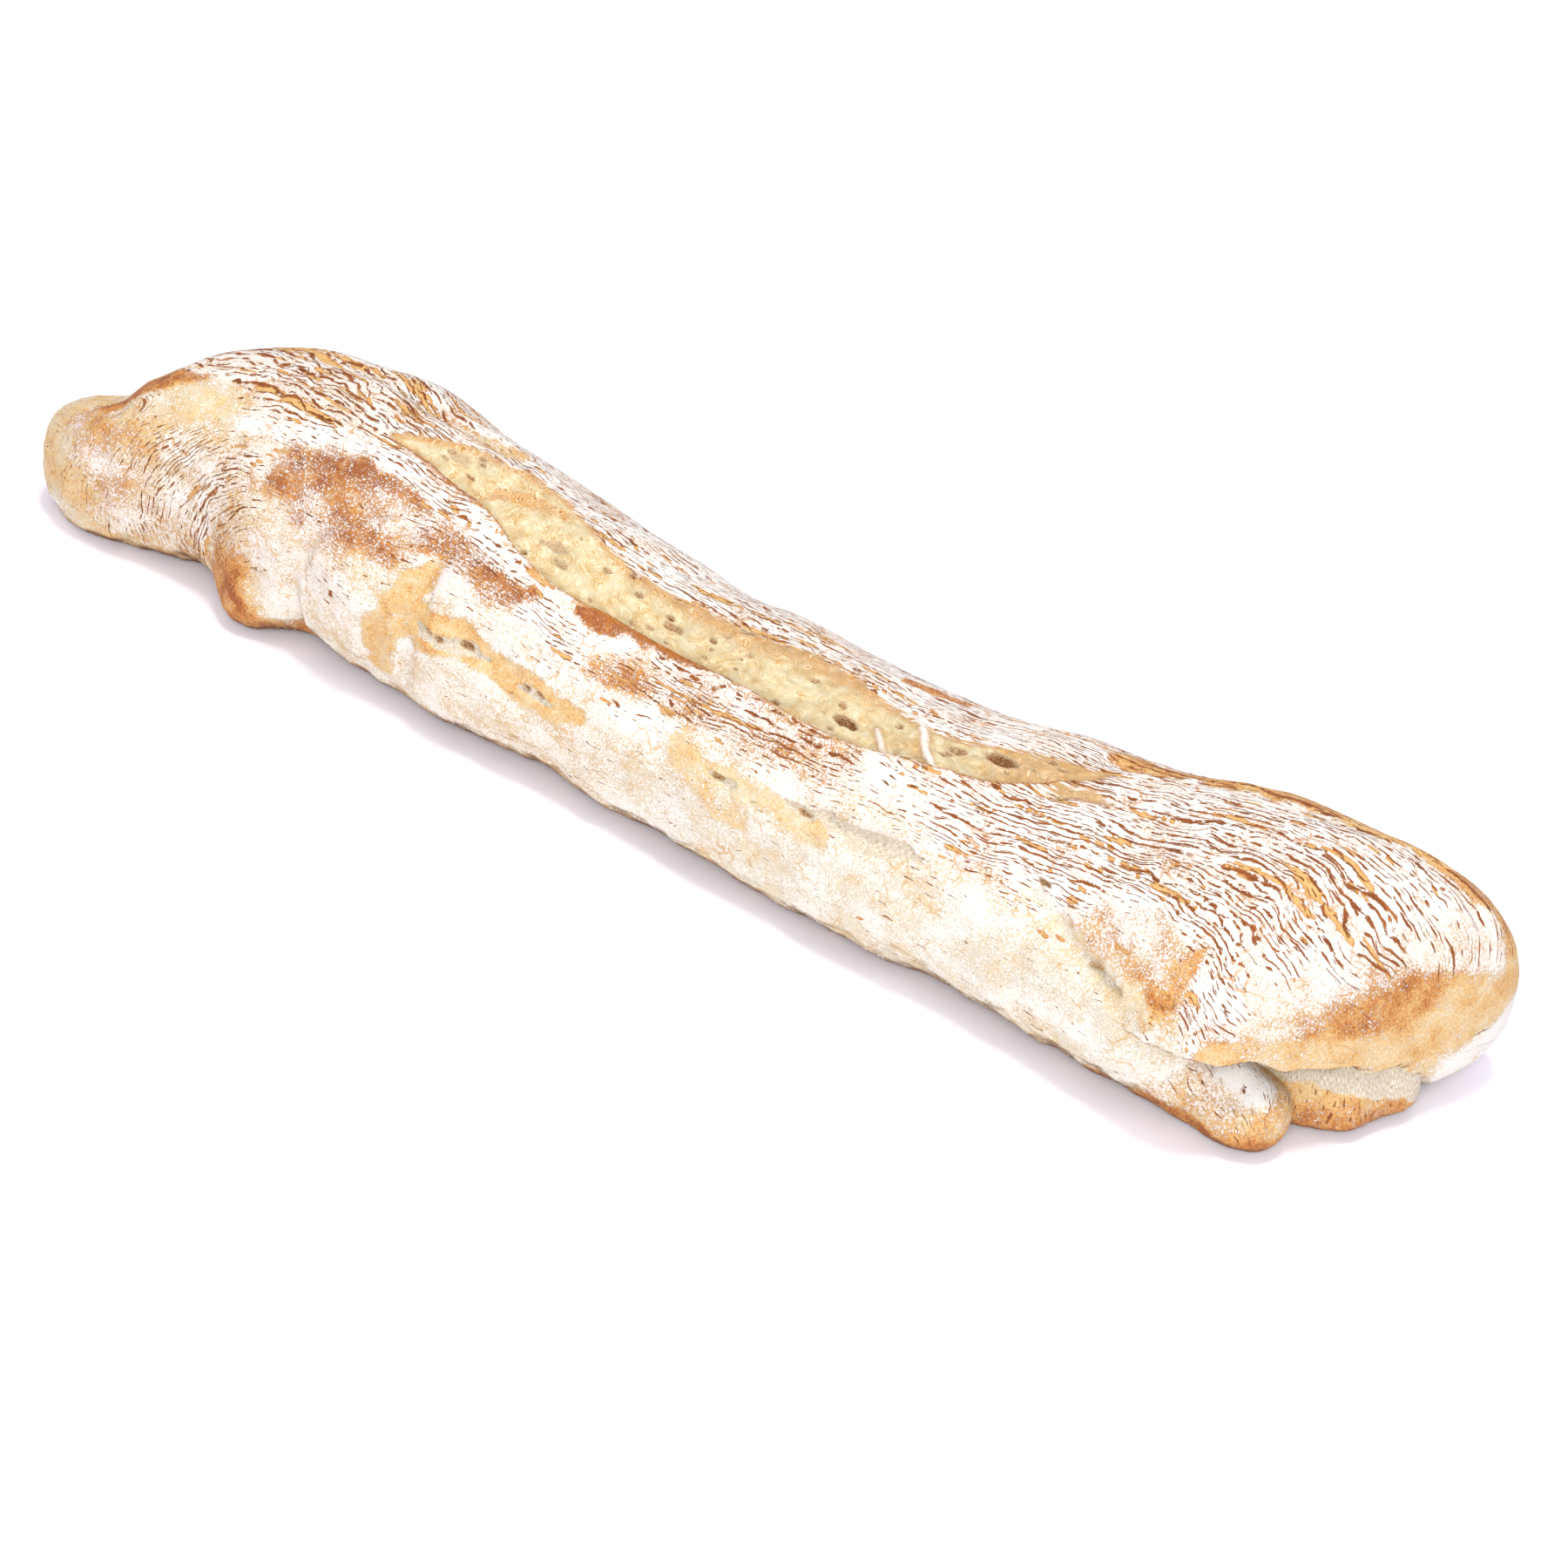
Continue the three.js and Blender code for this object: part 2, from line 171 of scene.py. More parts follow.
# The fold over the near end, and under it the tongue and the rolled foot, as they are in the solid
FOLD_HEIGHT = [(-45, 29), (-28, 26), (-5, 20), (7, 15), (15, 9), (22, 0)]
FOLD_FROM = 160
FOLD_FULL = 192
FOLD_REAR = (16, 24)
FOLD_INSET = 0.2
FOLD_EDGE = 3
FOLD_RIPPLE = 0.7  # of the scene's lip alone
FOLD_CORE = (160, 14)
TONGUE = {"x": 189, "y": 7, "long": 28.5, "wide": 25, "belt": 7, "height": 25, "power": 2.6}
TONGUE_RIPPLES = [{"share": 0.03, "folds": 5, "start": 0}, {"share": 0.02, "folds": 9, "start": 57}]
ROLL_FROM = {"at": (156, -23.5), "radius": 15}
ROLL_TO = {"at": (193.5, -24.5), "radius": 9.5}
ROLL_SINK = 1.5
ROLL_TIP = [(186, -27, 19, 2), (195, -26, 17, 4)]
ROLL_SCORCH = [(174, -37, 5, 1.5), (186, -36, 4, 2.5)]

# Fine relief of the scene alone: fibres of the crumb, splits in the flour, lumps low on the side
FIBRE_LENGTH = 6
FIBRE_WIDTH = 1.7
FIBRE_HEIGHT = 0.55
FIBRE_SLANT = 0.35
SPLIT_EDGE = (0.42, 0.51)
SPLIT_DEPTH = 0.45
LOWER_SIDE = (132, 150)  # angles between which the lumps of the lower side grow

# Fineness of the mesh, in millimetres along the loaf or in columns round a section
STEP = 0.75
CAP_RINGS = 44
COLUMNS = {"rear": 104, "crumb": 34, "crevice": 5, "front": 92, "bottom": 24}
COLUMNS_SPREAD = 14  # degrees by which the burst's columns widen past its ends
COLUMNS_SPREAD_OVER = 45
REAR_HIP = -24
FRONT_HIP = 206
BOTTOM = 270
TONGUE_RINGS = 90
TONGUE_COLUMNS = 230
ROLL_RINGS = 90
ROLL_COLUMNS = 110
RIM_EASE = 0.6  # how softly the sides turn into the flat underside

# The picture's camera, found from the loaf's outline
CAMERA_AZIMUTH = 37
CAMERA_TILT = 35
CAMERA_ROLL = 5.2
CAMERA_LENS = 74.8
CAMERA_SENSOR = 36
CAMERA_PLACE = (453.816, -561.726, 499.054)

FLOOR_REACH = 6
LIGHT_LEVEL = 1.46
SKY = (0.88, 0.86, 1.0, 1)
SKY_STRENGTH = 0.78
LIGHTS = {
    "overhead": {"place": (0.1, 0.05, 1.6), "size": 0.4, "power": 16, "colour": (1.0, 0.98, 0.88)},
    "fill": {"place": (0.9, -1.3, 0.98), "size": 1.2, "power": 24, "colour": (1.0, 0.985, 0.9)},
}


def smooth_step(low, high, value):
    share = np.clip((value - low) / (high - low), 0, 1)
    return share * share * (3 - 2 * share)


def hill(distance):
    """A rounded hill: 1 in the middle, 0 from a distance of 1 outwards."""
    return np.clip(1 - distance * distance, 0, 1) ** 2


def through(pairs, position):
    """A smooth line through (position, value) pairs that never overshoots them."""
    knots, values = np.array(pairs, float).T
    spans = np.diff(knots)
    slopes = np.diff(values) / spans
    before, after = slopes[:-1], slopes[1:]
    same_way = before * after > 0
    inner = np.where(same_way, 2 * before * after / np.where(same_way, before + after, 1), 0)
    tangents = np.concatenate([slopes[:1], inner, slopes[-1:]])
    position = np.clip(position, knots[0], knots[-1])
    i = np.clip(np.searchsorted(knots, position, side="right") - 1, 0, len(spans) - 1)
    t = (position - knots[i]) / spans[i]
    return (
        (2 * t**3 - 3 * t**2 + 1) * values[i]
        + (t**3 - 2 * t**2 + t) * spans[i] * tangents[i]
        + (3 * t**2 - 2 * t**3) * values[i + 1]
        + (t**3 - t**2) * spans[i] * tangents[i + 1]
    )


def column(index):
    return [(station[0], station[index]) for station in STATIONS]


def lattice_noise(*coordinates, seed):
    """Smooth noise from -1 to 1 over coordinates of any number, the same on every run."""
    points = np.stack(np.broadcast_arrays(*coordinates), -1).astype(float)
    cell = np.floor(points).astype(np.int64)
    inside = points - cell
    ease = inside * inside * (3 - 2 * inside)
    total = np.zeros(points.shape[:-1])
    for corner in itertools.product((0, 1), repeat=points.shape[-1]):
        key = np.full(points.shape[:-1], seed * 7919 + 17, np.int64)
        weight = np.ones(points.shape[:-1])
        for axis, side in enumerate(corner):
            key = (key * 73856093) ^ ((cell[..., axis] + side) * 19349663)
            key = (key ^ (key >> 13)) & 0x7FFFFFFF
            weight = weight * (ease[..., axis] if side else 1 - ease[..., axis])
        key = (key * 1103515245 + 12345) & 0x7FFFFFFF
        key = (key ^ (key >> 11)) & 0xFFFF
        total += weight * (key / 32767.5 - 1)
    return total


def layered_noise(*coordinates, seed, layers=3):
    total = 0
    for layer in range(layers):
        scaled = [c * 2.03**layer for c in coordinates]
        total = total + lattice_noise(*scaled, seed=seed + layer) / 2**layer
    return total / (2 - 0.5 ** (layers - 1))


def end_rounding(distance, length, power):
    share = np.clip(distance / length, 0, 1)
    return (1 - (1 - share) ** power) ** (1 / power)


def unevenness(along, angle):
    height = 0
    for wave in WAVES:
        lean = wave["lean"] * np.cos(np.radians(angle + wave["start"]))
        height = height + wave["rise"] * np.sin(along / wave["length"] + lean)
    return height


def distance_to_leg(start, end, along, angle):
    """Distance on the crust to a straight leg, in millimetres, and how far along the leg that is."""
    leg = np.array([end[0] - start[0], (end[1] - start[1]) * DEGREE])
    x = along - start[0]
    y = (angle - start[1]) * DEGREE
    share = np.clip((x * leg[0] + y * leg[1]) / (leg @ leg), 0, 1)
    return np.hypot(x - leg[0] * share, y - leg[1] * share), share


def distance_to_line(line, along, angle):
    """Distance on the crust to a line of (along, angle) pairs, in millimetres."""
    return np.min([distance_to_leg(a, b, along, angle)[0] for a, b in zip(line, line[1:])], axis=0)


def spot(spine, along, angle):
    """How deep inside a spot a point lies, in millimetres: spine is (along, angle, half width)."""
    inside = -np.inf
    for start, end in zip(spine, spine[1:]):
        away, share = distance_to_leg(start, end, along, angle)
        inside = np.maximum(inside, start[2] + (end[2] - start[2]) * share - away)
    return inside


def noise(name, *coordinates):
    """One of the named noises, from minus its height to its height."""
    height, sizes, layers, seed = NOISES[name]
    scaled = [c / size for c, size in zip(coordinates, sizes)]
    return height * layered_noise(*scaled, seed=seed, layers=layers)


def crust_noise(name, along, angle):
    return noise(name, along, angle * DEGREE)


def ragged(inside, along, angle, size, depth, seed):
    """Makes the edge of a spot ragged."""
    return inside + depth * layered_noise(along / size, angle * DEGREE / size, seed=seed)


def burst_edges(along):
    """Angles of the long burst's rear and front edge."""
    return through(BURST_REAR_EDGE, along), through(BURST_FRONT_EDGE, along)


def burst_inside(along, angle):
    """How deep inside the long burst a point lies, in millimetres."""
    rear, front = burst_edges(along)
    across = np.minimum(angle - rear, front - angle) * DEGREE
    ends = np.minimum(along - BURST_FROM, BURST_TO - along)
    return np.minimum(across, ends)


def burst_relief(along, angle):
    rear, front = burst_edges(along)
    depth = through(BURST_DEPTH, along)
    lip = LIP_HEIGHT * smooth_step(BURST_FROM, BURST_FROM + BURST_FADE, along)
    lip = lip * (1 - smooth_step(BURST_TO - BURST_FADE, BURST_TO, along))
    across = (angle - rear) / (front - rear)
    dip = -depth * np.clip(across / CREVICE_SHARE, 0, 1) ** BURST_DIP
    climb = smooth_step(CREVICE_SHARE, 1, across)
    fall = 1 - smooth_step(0, LIP_WIDTH, angle - front)
    inner = dip + (lip - dip) * climb
    height = np.where(across < 1, inner, lip * fall)
    return np.where((across < 0) | (along <= BURST_FROM) | (along >= BURST_TO), 0, height)


def lip_lean(along, angle):
    """Degrees by which the crust at the torn front edge leans over the crevice."""
    front = through(BURST_FRONT_EDGE, along)
    strength = smooth_step(*CURL_GROWS, along) * (1 - smooth_step(*CURL_FADES, along))
    crest = np.where(angle < front, smooth_step(-CURL_INSIDE, 0, angle - front),
                     1 - smooth_step(0, CURL_OUTSIDE, angle - front))
    return LIP_CURL * strength * crest


def large_relief(along, angle):
    """The relief that the solid has too."""
    height = unevenness(along, angle) + burst_relief(along, angle)
    for crease in CREASES.values():
        away = distance_to_line(crease["line"], along, angle)
        height = height - crease["depth"] * hill(away / crease["width"])
    for swelling in SWELLINGS.values():
        x, turn = swelling["at"]
        off = np.hypot((along - x) / swelling["long"], (angle - turn) / swelling["round"])
        height = height + swelling["rise"] * hill(off)
    return height


def draw_in_below_fold(x, y, z):
    ceiling = through(FOLD_HEIGHT, y) + FOLD_RIPPLE * (np.sin(y / 2.9) + np.sin(y / 1.7 + 1))
    share = 1 - smooth_step(ceiling - FOLD_EDGE, ceiling, z)
    share = share * smooth_step(FOLD_FROM, FOLD_FULL, x)
    share = share * (1 - smooth_step(FOLD_REAR[0], FOLD_REAR[1], y)) * FOLD_INSET
    return x + (FOLD_CORE[0] - x) * share, y + (FOLD_CORE[1] - y) * share, z


def hull_point(along, angle, relief, lean=0):
    """Points of the hull with their relief, in millimetres."""
    front = through(column(1), along)
    back = through(column(2), along)
    top = through(column(3), along)
    middle = (front + back) / 2
    belt = BELT_SHARE * top
    turn = np.radians(angle - lean)
    cos, sin = np.cos(turn), np.sin(turn)
    power = 2 / np.where(sin >= 0, TOP_POWER, BELLY_POWER)
    reach = np.where(sin >= 0, top - belt, belt + SINK)
    y = (back - front) / 2 * np.sign(cos) * np.abs(cos) ** power
    z = reach * np.sign(sin) * np.abs(sin) ** power
    lift = 1 + relief / np.hypot(y, z)
    y = middle + y * lift
    z = belt + z * lift
    grown = end_rounding(along + HALF, FAR_END_ROUND, FAR_END_BLUNT)
    grown = grown * end_rounding(HALF - along, NEAR_END_ROUND, NEAR_END_BLUNT)
    core_y = np.where(along < 0, FAR_END_CORE[0], NEAR_END_CORE[0])
    core_z = np.where(along < 0, FAR_END_CORE[1], NEAR_END_CORE[1])
    y = core_y + (y - core_y) * grown
    z = core_z + (z - core_z) * grown
    skew = NEAR_SKEW["slope"] * smooth_step(NEAR_SKEW["from"], HALF, along) ** 2
    return draw_in_below_fold(along + skew * (y - middle - NEAR_SKEW["pivot"]), y, z)


FAR_OUTSIDE = -10.0  # how deep inside a spot a point well away from it counts, in millimetres

# Crumb and thin skins that show: spines of (along, angle, half width), and how ragged they are
TEARS = [
    {"spine": [(115, 98, 0.5), (121, 98, 1.7), (128, 97, 1.7), (133, 97, 0.5)], "ragged": 0.5},
]
WINDOWS = [
    {"spine": [(68, 151, 1), (78, 154, 2.8), (87, 154, 3.4), (95, 151, 3.2), (100, 152, 1.4)],
     "ragged": 2},
    {"spine": [(-62, 167, 1.6), (-54, 167, 2.4), (-44, 164, 2.4), (-38, 164, 1)], "ragged": 1.5},
    {"spine": [(-27, 168, 1), (-21, 167, 1.6), (-16, 168, 0.8)], "ragged": 1},
    {"spine": [(38, 157, 1), (44, 158, 2)], "ragged": 1.5},
    {"spine": [(61, 154, 1), (67, 155, 2)], "ragged": 1.5},
    {"spine": [(150, 160, 0.5), (158, 164, 1.2), (166, 167, 0.8)], "ragged": 0.8},
]

# Holes in the crumb and the thin skins: (along, angle, half length, half width, depth, darkness), the
# darkness being partly the skins' own colour and partly painted shade in the hole
PITS = [
    (-85, 90, 5.5, 2.2, 0.7, 0.25), (-78, 94, 1.6, 0.7, 0.7, 0.8), (-48, 109, 1.6, 1, 1.2, 0.8),
    (-42, 98, 4.8, 2.4, 0.9, 0.35), (-37, 104, 3.6, 1.6, 0.8, 0.4), (-26, 95, 2, 1.4, 0.8, 0.5),
    (-20, 90, 1.1, 0.9, 1.1, 0.85), (-14, 96, 1.7, 1.1, 0.9, 0.6), (-2, 98, 1.5, 0.9, 1.2, 0.9),
    (1, 101, 4.2, 1.6, 1.2, 0.6), (13, 98, 1.6, 1.1, 1.1, 0.75), (18, 87, 2.8, 1.6, 0.9, 0.5),
    (33, 116, 2.8, 1.5, 0.9, 0.45), (60, 106, 4, 2, 1.8, 0.95), (72, 97, 1.7, 1, 0.9, 0.6),
    (90, 98, 3.4, 1.3, 1, 0.6), (101, 95, 6.2, 2, 1.6, 1), (111, 87, 1.3, 0.9, 1, 0.6),
    (115, 89, 1.6, 1, 1, 0.7), (121, 101, 2.6, 1.2, 1.2, 0.7), (133, 139, 2, 1.1, 1.4, 0.8),
    (-58, 165, 2, 1.3, 1.2, 0.6), (-54, 166, 1.7, 1.1, 1.3, 0.8), (-46, 163, 2.4, 1.6, 1.4, 0.8),
    (-25, 167, 1.5, 0.9, 1.2, 0.8), (-20, 166, 2.1, 1.1, 1.3, 0.8), (-120, 75, 2, 1.1, 1.2, 0.8),
    (-112, 77, 1.6, 1, 1.1, 0.7), (40, 157, 2.2, 1.2, 1, 0.6), (66, 155, 2.4, 1.2, 1, 0.7),
    (155, 163, 4, 1.6, 0.9, 0.35), (165, 166, 3, 1.3, 0.8, 0.3),
]
SCATTERED_PITS = {"seed": 5, "count": 46, "along": (-92, 118), "across": (0.15, 0.85), "half": (0.5, 1.3),
                  "stretch": (1, 2.2), "depth": 0.5, "darkness": (0.2, 0.6)}

# Along the burst: half width of the painted shade in the crevice under the lip, and how far in the crumb is
# toasted
CREVICE_SHADE_WIDTH = [(-104, 0.4), (-88, 1.4), (-70, 1.6), (-60, 0.6), (-26, 0.5), (-12, 1.7), (14, 1.8),
                 (26, 0.6), (50, 0.5), (95, 0.7), (124, 0.6)]
TOAST_REAR = [(-104, 4), (-80, 5), (-62, 3.5), (-50, 2), (-20, 4), (0, 6), (22, 9), (45, 8), (62, 4),
              (90, 2), (124, 3)]
TOAST_FRONT = [(-104, 2), (-66, 2.5), (-40, 1.2), (20, 1), (70, 1.2), (86, 2.6), (124, 3)]
SMEAR = {"spine": [(-71, 99, 1), (-68, 91, 2.4), (-60, 86, 2.8), (-50, 83, 2)], "soft": 2}

# Skins of floured dough that still cross the burst: (along, angle) with the half width
STRANDS = [
    {"line": [(62, 86), (72, 89), (77, 93), (80, 98), (83, 104), (88, 110), (95, 112)], "half": 1.1},
    {"line": [(69, 104), (75, 114), (80, 114)], "half": 0.8},
]

# Flour, bake and cracks of the crust by the angle round it, and then in patches on top of that:
# how soft the patch's edge is, its flour, bake and cracks, and its spine of (along, angle, half width)
FLOUR_ROUND = [(-60, 0.35), (-10, 0.5), (30, 0.68), (70, 0.84), (105, 0.84), (130, 0.7),
               (160, 0.66), (190, 0.54), (206, 0.46), (240, 0.25)]
BAKE_ROUND = [(-60, 0.4), (0, 0.5), (60, 0.7), (110, 0.75), (140, 0.6), (165, 0.42), (195, 0.3),
              (240, 0.5)]
CRACKS_ROUND = [(-40, 0.4), (40, 0.8), (75, 0.85), (118, 0.62), (135, 0.45), (160, 0.3), (200, 0.15)]
PATCHES = {
    "far end": (18, 0.55, 0.55, 0.66, [(-190, 130, 26), (-160, 165, 26)]),
    "knob": (18, 0.36, 0.36, 0.4, [(-225, 90, 26), (-210, 150, 20)]),
    "knob rim": (8, 0.5, 0.66, 0.4, [(-200, 125, 5), (-190, 150, 5), (-184, 176, 4)]),
    "knob step": (5, 0.1, 0.86, 0.4, [(-194, 119, 2), (-187, 112, 5), (-179, 112, 5.5), (-172, 107, 4)]),
    "rear gold": (3, 0.4, 0.5, 0.5,
        [(-148, 70, 1), (-133, 72, 3), (-118, 76, 4), (-104, 78, 3), (-90, 73, 3), (-79, 65, 1)]),
    "yellow hollow": (9, 0.42, 0.28, 0.15, [(-170, 128, 4), (-160, 124, 5), (-148, 118, 4)]),
    "fan": (12, 0.74, 0.66, 1, [(-168, 92, 8), (-140, 92, 16), (-108, 88, 10)]),
    "white ridge": (4, 0.88, 0.6, 0.6, [(-146, 128, 1), (-126, 120, 2), (-108, 111, 2)]),
    "left side streaks": (10, 0.6, 0.55, 0.8, [(-158, 162, 8), (-146, 172, 9)]),
    "foot side": (9, 0.44, 0.58, 0.45, [(-136, 186, 6), (-119, 194, 6)]),
    "foot lobe": (9, 0.24, 0.8, 0.4, [(-138, 196, 5), (-126, 203, 8), (-113, 208, 8)]),
    "foot spot": (1.5, 0.05, 1.1, 0.2, [(-131, 197, 0.6), (-127, 200, 1)]),
    "cheek lobe": (7, 0.66, 0.6, 0.6, [(-98, 160, 4), (-92, 172, 6), (-90, 184, 5)]),
    "cheek brown": (8, 0.36, 0.92, 0.4,
        [(-122, 140, 3), (-112, 133, 5), (-98, 127, 6), (-86, 124, 6), (-76, 126, 4)]),
    "cheek brown low": (9, 0.5, 0.85, 0.3, [(-108, 147, 3), (-96, 141, 5), (-82, 136, 5)]),
    "lip flour": (3, 0.88, 0.85, 0.8, [(-98, 108, 1.5), (-76, 112, 2), (-50, 120, 2), (-30, 125, 1.5)]),
    "band under the lip": (6, 0.5, 0.85, 0.6, [(-74, 127, 3), (-56, 129, 3.5), (-40, 131, 3)]),
    "band clump": (4, 0.4, 0.92, 0.3, [(-48, 130, 1), (-36, 128, 1.5)]),
    "brown below the lip": (5, 0.45, 0.75, 0.7, [(-6, 138, 3), (2, 131, 4), (14, 131, 3)]),
    "white gap": (4, 0.86, 0.7, 0.8, [(-34, 132, 1), (-26, 133, 3.5), (-16, 136, 3)]),
    "burnt lip": (2, 0.26, 0.98, 0.3, [(-20, 121, 0.2), (-8, 120, 1), (6, 119, 1.2), (18, 119, 0.4)]),
    "streaks beside the burst": (8, 0.62, 0.8, 0.9, [(18, 130, 4), (44, 130, 5), (66, 130, 4)]),
    "pale side": (14, 0.54, 0.17, 0.2, [(20, 190, 6), (100, 188, 14), (165, 190, 12)]),
    "warm side": (12, 0.61, 0.36, 0.15, [(-110, 192, 8), (-60, 194, 8), (-20, 190, 6)]),
    "near cracks": (14, 0.79, 0.8, 0.96, [(112, 116, 12), (150, 116, 17), (190, 108, 18)]),
    "pink side": (8, 0.55, 0.72, 0.25, [(152, 145, 4), (164, 147, 6), (178, 149, 5)]),
    "orange fold": (7, 0.4, 0.7, 0.4, [(182, 166, 3), (187, 156, 4), (190, 144, 3)]),
    "flap": (4, 0.84, 0.8, 0.85, [(196, 138, 4), (203, 150, 7), (208, 166, 6)]),
    "torn side gold": (3, 0.22, 0.46, 0,
        [(-65, 140, 2), (-68, 152, 3), (-70, 165, 5.5), (-58, 166, 5), (-47, 161, 5), (-37, 165, 3),
         (-24, 167, 5), (-14, 169, 3), (-6, 165, 1)]),
    "torn foot gold": (3, 0.22, 0.48, 0, [(-71, 168, 5), (-77, 182, 3.5), (-76, 196, 2.5)]),
    "side pockets": (4, 0.33, 0.32, 0.1,
        [(26, 152, 2), (38, 160, 4), (47, 168, 4), (44, 158, 3), (60, 157, 2), (72, 161, 2)]),
    "oblique crack": (3, 0.46, 0.2, 0.05,
        [(133, 146, 0.5), (140, 153, 1.6), (149, 160, 2.4), (160, 165, 2.6), (169, 167, 2), (182, 168, 1)]),
    "golden band": (3, 0.23, 0.56, 0.95,
        [(121, 64, 1), (146, 60, 2), (168, 54, 4), (190, 48, 6), (206, 42, 5), (215, 32, 3), (219, 18, 2)]),
    "rear spot": (2, 0.2, 0.8, 0.2, [(59, 68, 0.8), (66, 63, 2), (73, 61, 1)]),
}

# Patches on the folded near end, the same way, as spheres strung on (x, y, z, radius)
END_PATCHES = {
    "cap pink": (9, 0.5, 0.75, 0.4, [(206, -34, 34, 4), (216, -10, 40, 6), (222, 14, 42, 6)]),
    "cap orange": (8, 0.1, 0.78, 0.1, [(212, -22, 35, 4), (219, -4, 36, 6), (219, 14, 35, 5)]),
    "cap tan": (8, 0.24, 0.42, 0.05, [(222, 10, 27, 7), (220, 28, 30, 8)]),
    "cap tip": (6, 0.88, 0.4, 0.2, [(219, 24, 9, 7), (216, 38, 16, 11)]),
    "cap flour": (7, 0.72, 0.6, 0.6, [(212, 4, 53, 3), (216, 17, 48, 4), (220, 28, 43, 3)]),
    "golden lip": (5, 0.28, 0.42, 0, [(188, -38, 29, 2), (203, -22, 28, 3), (212, 0, 24, 3.5)]),
}


def string_of_balls(spine, x, y, z):
    """How deep inside a string of spheres a point lies: spine is (x, y, z, radius)."""
    inside = -np.inf
    for start, end in zip(spine, spine[1:]):
        start, end = np.array(start, float), np.array(end, float)
        leg = (end - start)[:3]
        away = [x - start[0], y - start[1], z - start[2]]
        share = np.clip(sum(a * b for a, b in zip(away, leg)) / (leg @ leg), 0, 1)
        distance = np.sqrt(sum((a - b * share) ** 2 for a, b in zip(away, leg)))
        inside = np.maximum(inside, start[3] + (end[3] - start[3]) * share - distance)
    return inside


TINY = 0.001

# The cracks in the flour follow the way the dough was stretched: straight along the loaf, in arcs
# down its front side at the far end, and spreading over its top towards both ends
FAR_ARCS = (-118, 202)
FAR_FAN = {"from": -105, "middle": 104, "reach": 55, "rear": (0, 60), "front": (138, 104)}
NEAR_FAN = {"from": 140, "middle": 90, "spread": 0.42}


def flow_lines(along, angle):
    """Coordinates along and across the stretch of the dough, in millimetres."""
    from_along, centre = FAR_ARCS
    past = np.maximum(0, from_along - along)
    below = np.maximum(centre - angle, TINY) * DEGREE
    radius = np.hypot(past, below)
    run = np.where(past > 0, from_along - radius * np.arctan2(past, below), along)
    across = np.where(past > 0, radius - centre * DEGREE, -angle * DEGREE)
    past = np.maximum(0, FAR_FAN["from"] - along)
    turning = past / (FAR_FAN["reach"] + past)
    top_only = smooth_step(*FAR_FAN["rear"], angle)
    fanned = -DEGREE * (angle + (FAR_FAN["middle"] - angle) * turning * top_only)
    across = across + (fanned - across) * smooth_step(*FAR_FAN["front"], angle) * (past > 0)
    share = np.clip((along - NEAR_FAN["from"]) / (HALF - NEAR_FAN["from"]), 0, 1)
    return run, across + DEGREE * (angle - NEAR_FAN["middle"]) * NEAR_FAN["spread"] * share**2


def tear_depth_in(along, angle):
    """How deep inside any tear in the crust a point lies, in millimetres."""
    inside = burst_inside(along, angle)
    inside = inside + crust_noise("edge of the burst", along, angle)
    for seed, tear in enumerate(TEARS):
        away = spot(tear["spine"], along, angle)
        inside = np.maximum(inside, ragged(away, along, angle, 4.5, tear["ragged"], 20 + seed))
    return inside


def all_pits():
    """The pits seen in the burst, and small ones scattered between them."""
    given = SCATTERED_PITS
    rng = np.random.default_rng(given["seed"])
    pits = list(PITS)
    for _ in range(given["count"]):
        along = rng.uniform(*given["along"])
        rear, front = burst_edges(along)
        angle = rear + (front - rear) * rng.uniform(*given["across"])
        size = rng.uniform(*given["half"])
        long = size * rng.uniform(*given["stretch"])
        pits.append((along, angle, long, size, given["depth"] * size, rng.uniform(*given["darkness"])))
    return pits


def pit_fields(along, angle):
    """Depth of the pits in millimetres, and how dark each is inside, which is partly painted shade in the
    hole.
    """
    depth = np.zeros(along.shape)
    dark = np.zeros(along.shape)
    for x, turn, long, wide, deep, darkness in all_pits():
        near = (np.abs(along - x) < long * 1.6) & (np.abs(angle - turn) * DEGREE < wide * 2)
        if not near.any():
            continue
        a, t = along[near], angle[near]
        off = np.hypot((a - x) / long, (t - turn) * DEGREE / wide) + crust_noise("pit edges", a, t)
        depth[near] = np.maximum(depth[near], deep * (1 - smooth_step(0.45, 1.05, off)))
        dark[near] = np.maximum(dark[near], darkness * (1 - smooth_step(0.5, 1.1, off)))
    return depth, dark


def strand_field(along, angle):
    inside = -np.inf
    for strand in STRANDS:
        away = distance_to_line(strand["line"], along, angle)
        inside = np.maximum(inside, strand["half"] - away)
    return inside


def crevice_shade_field(along, angle):
    """How far inside the painted shade of the crevice under the lip a point lies, in millimetres."""
    front = through(BURST_FRONT_EDGE, along)
    half = through(CREVICE_SHADE_WIDTH, along) / 2
    away = np.abs((angle - front) * DEGREE - half + 0.4)
    past_end = np.maximum(BURST_FROM - along, along - BURST_TO)
    return np.clip(half - away - np.maximum(past_end, 0), -9, None)


def toast_field(along, angle):
    """How brown the crumb is: 1 at the edges of the burst and in the smear, 0 inside."""
    rear, front = burst_edges(along)
    from_rear = (angle - rear) * DEGREE / through(TOAST_REAR, along)
    from_front = (front - angle) * DEGREE / through(TOAST_FRONT, along)
    toast = 1 - smooth_step(0.3, 1.3, from_rear)
    toast = np.maximum(toast, 0.9 * (1 - smooth_step(0.2, 1.4, from_front)))
    toast = np.maximum(toast, 0.85 * smooth_step(90, 106, along))
    smear = smooth_step(-SMEAR["soft"], SMEAR["soft"], spot(SMEAR["spine"], along, angle))
    return np.where(burst_inside(along, angle) > -4, np.maximum(toast, 1.25 * smear), 0.8)


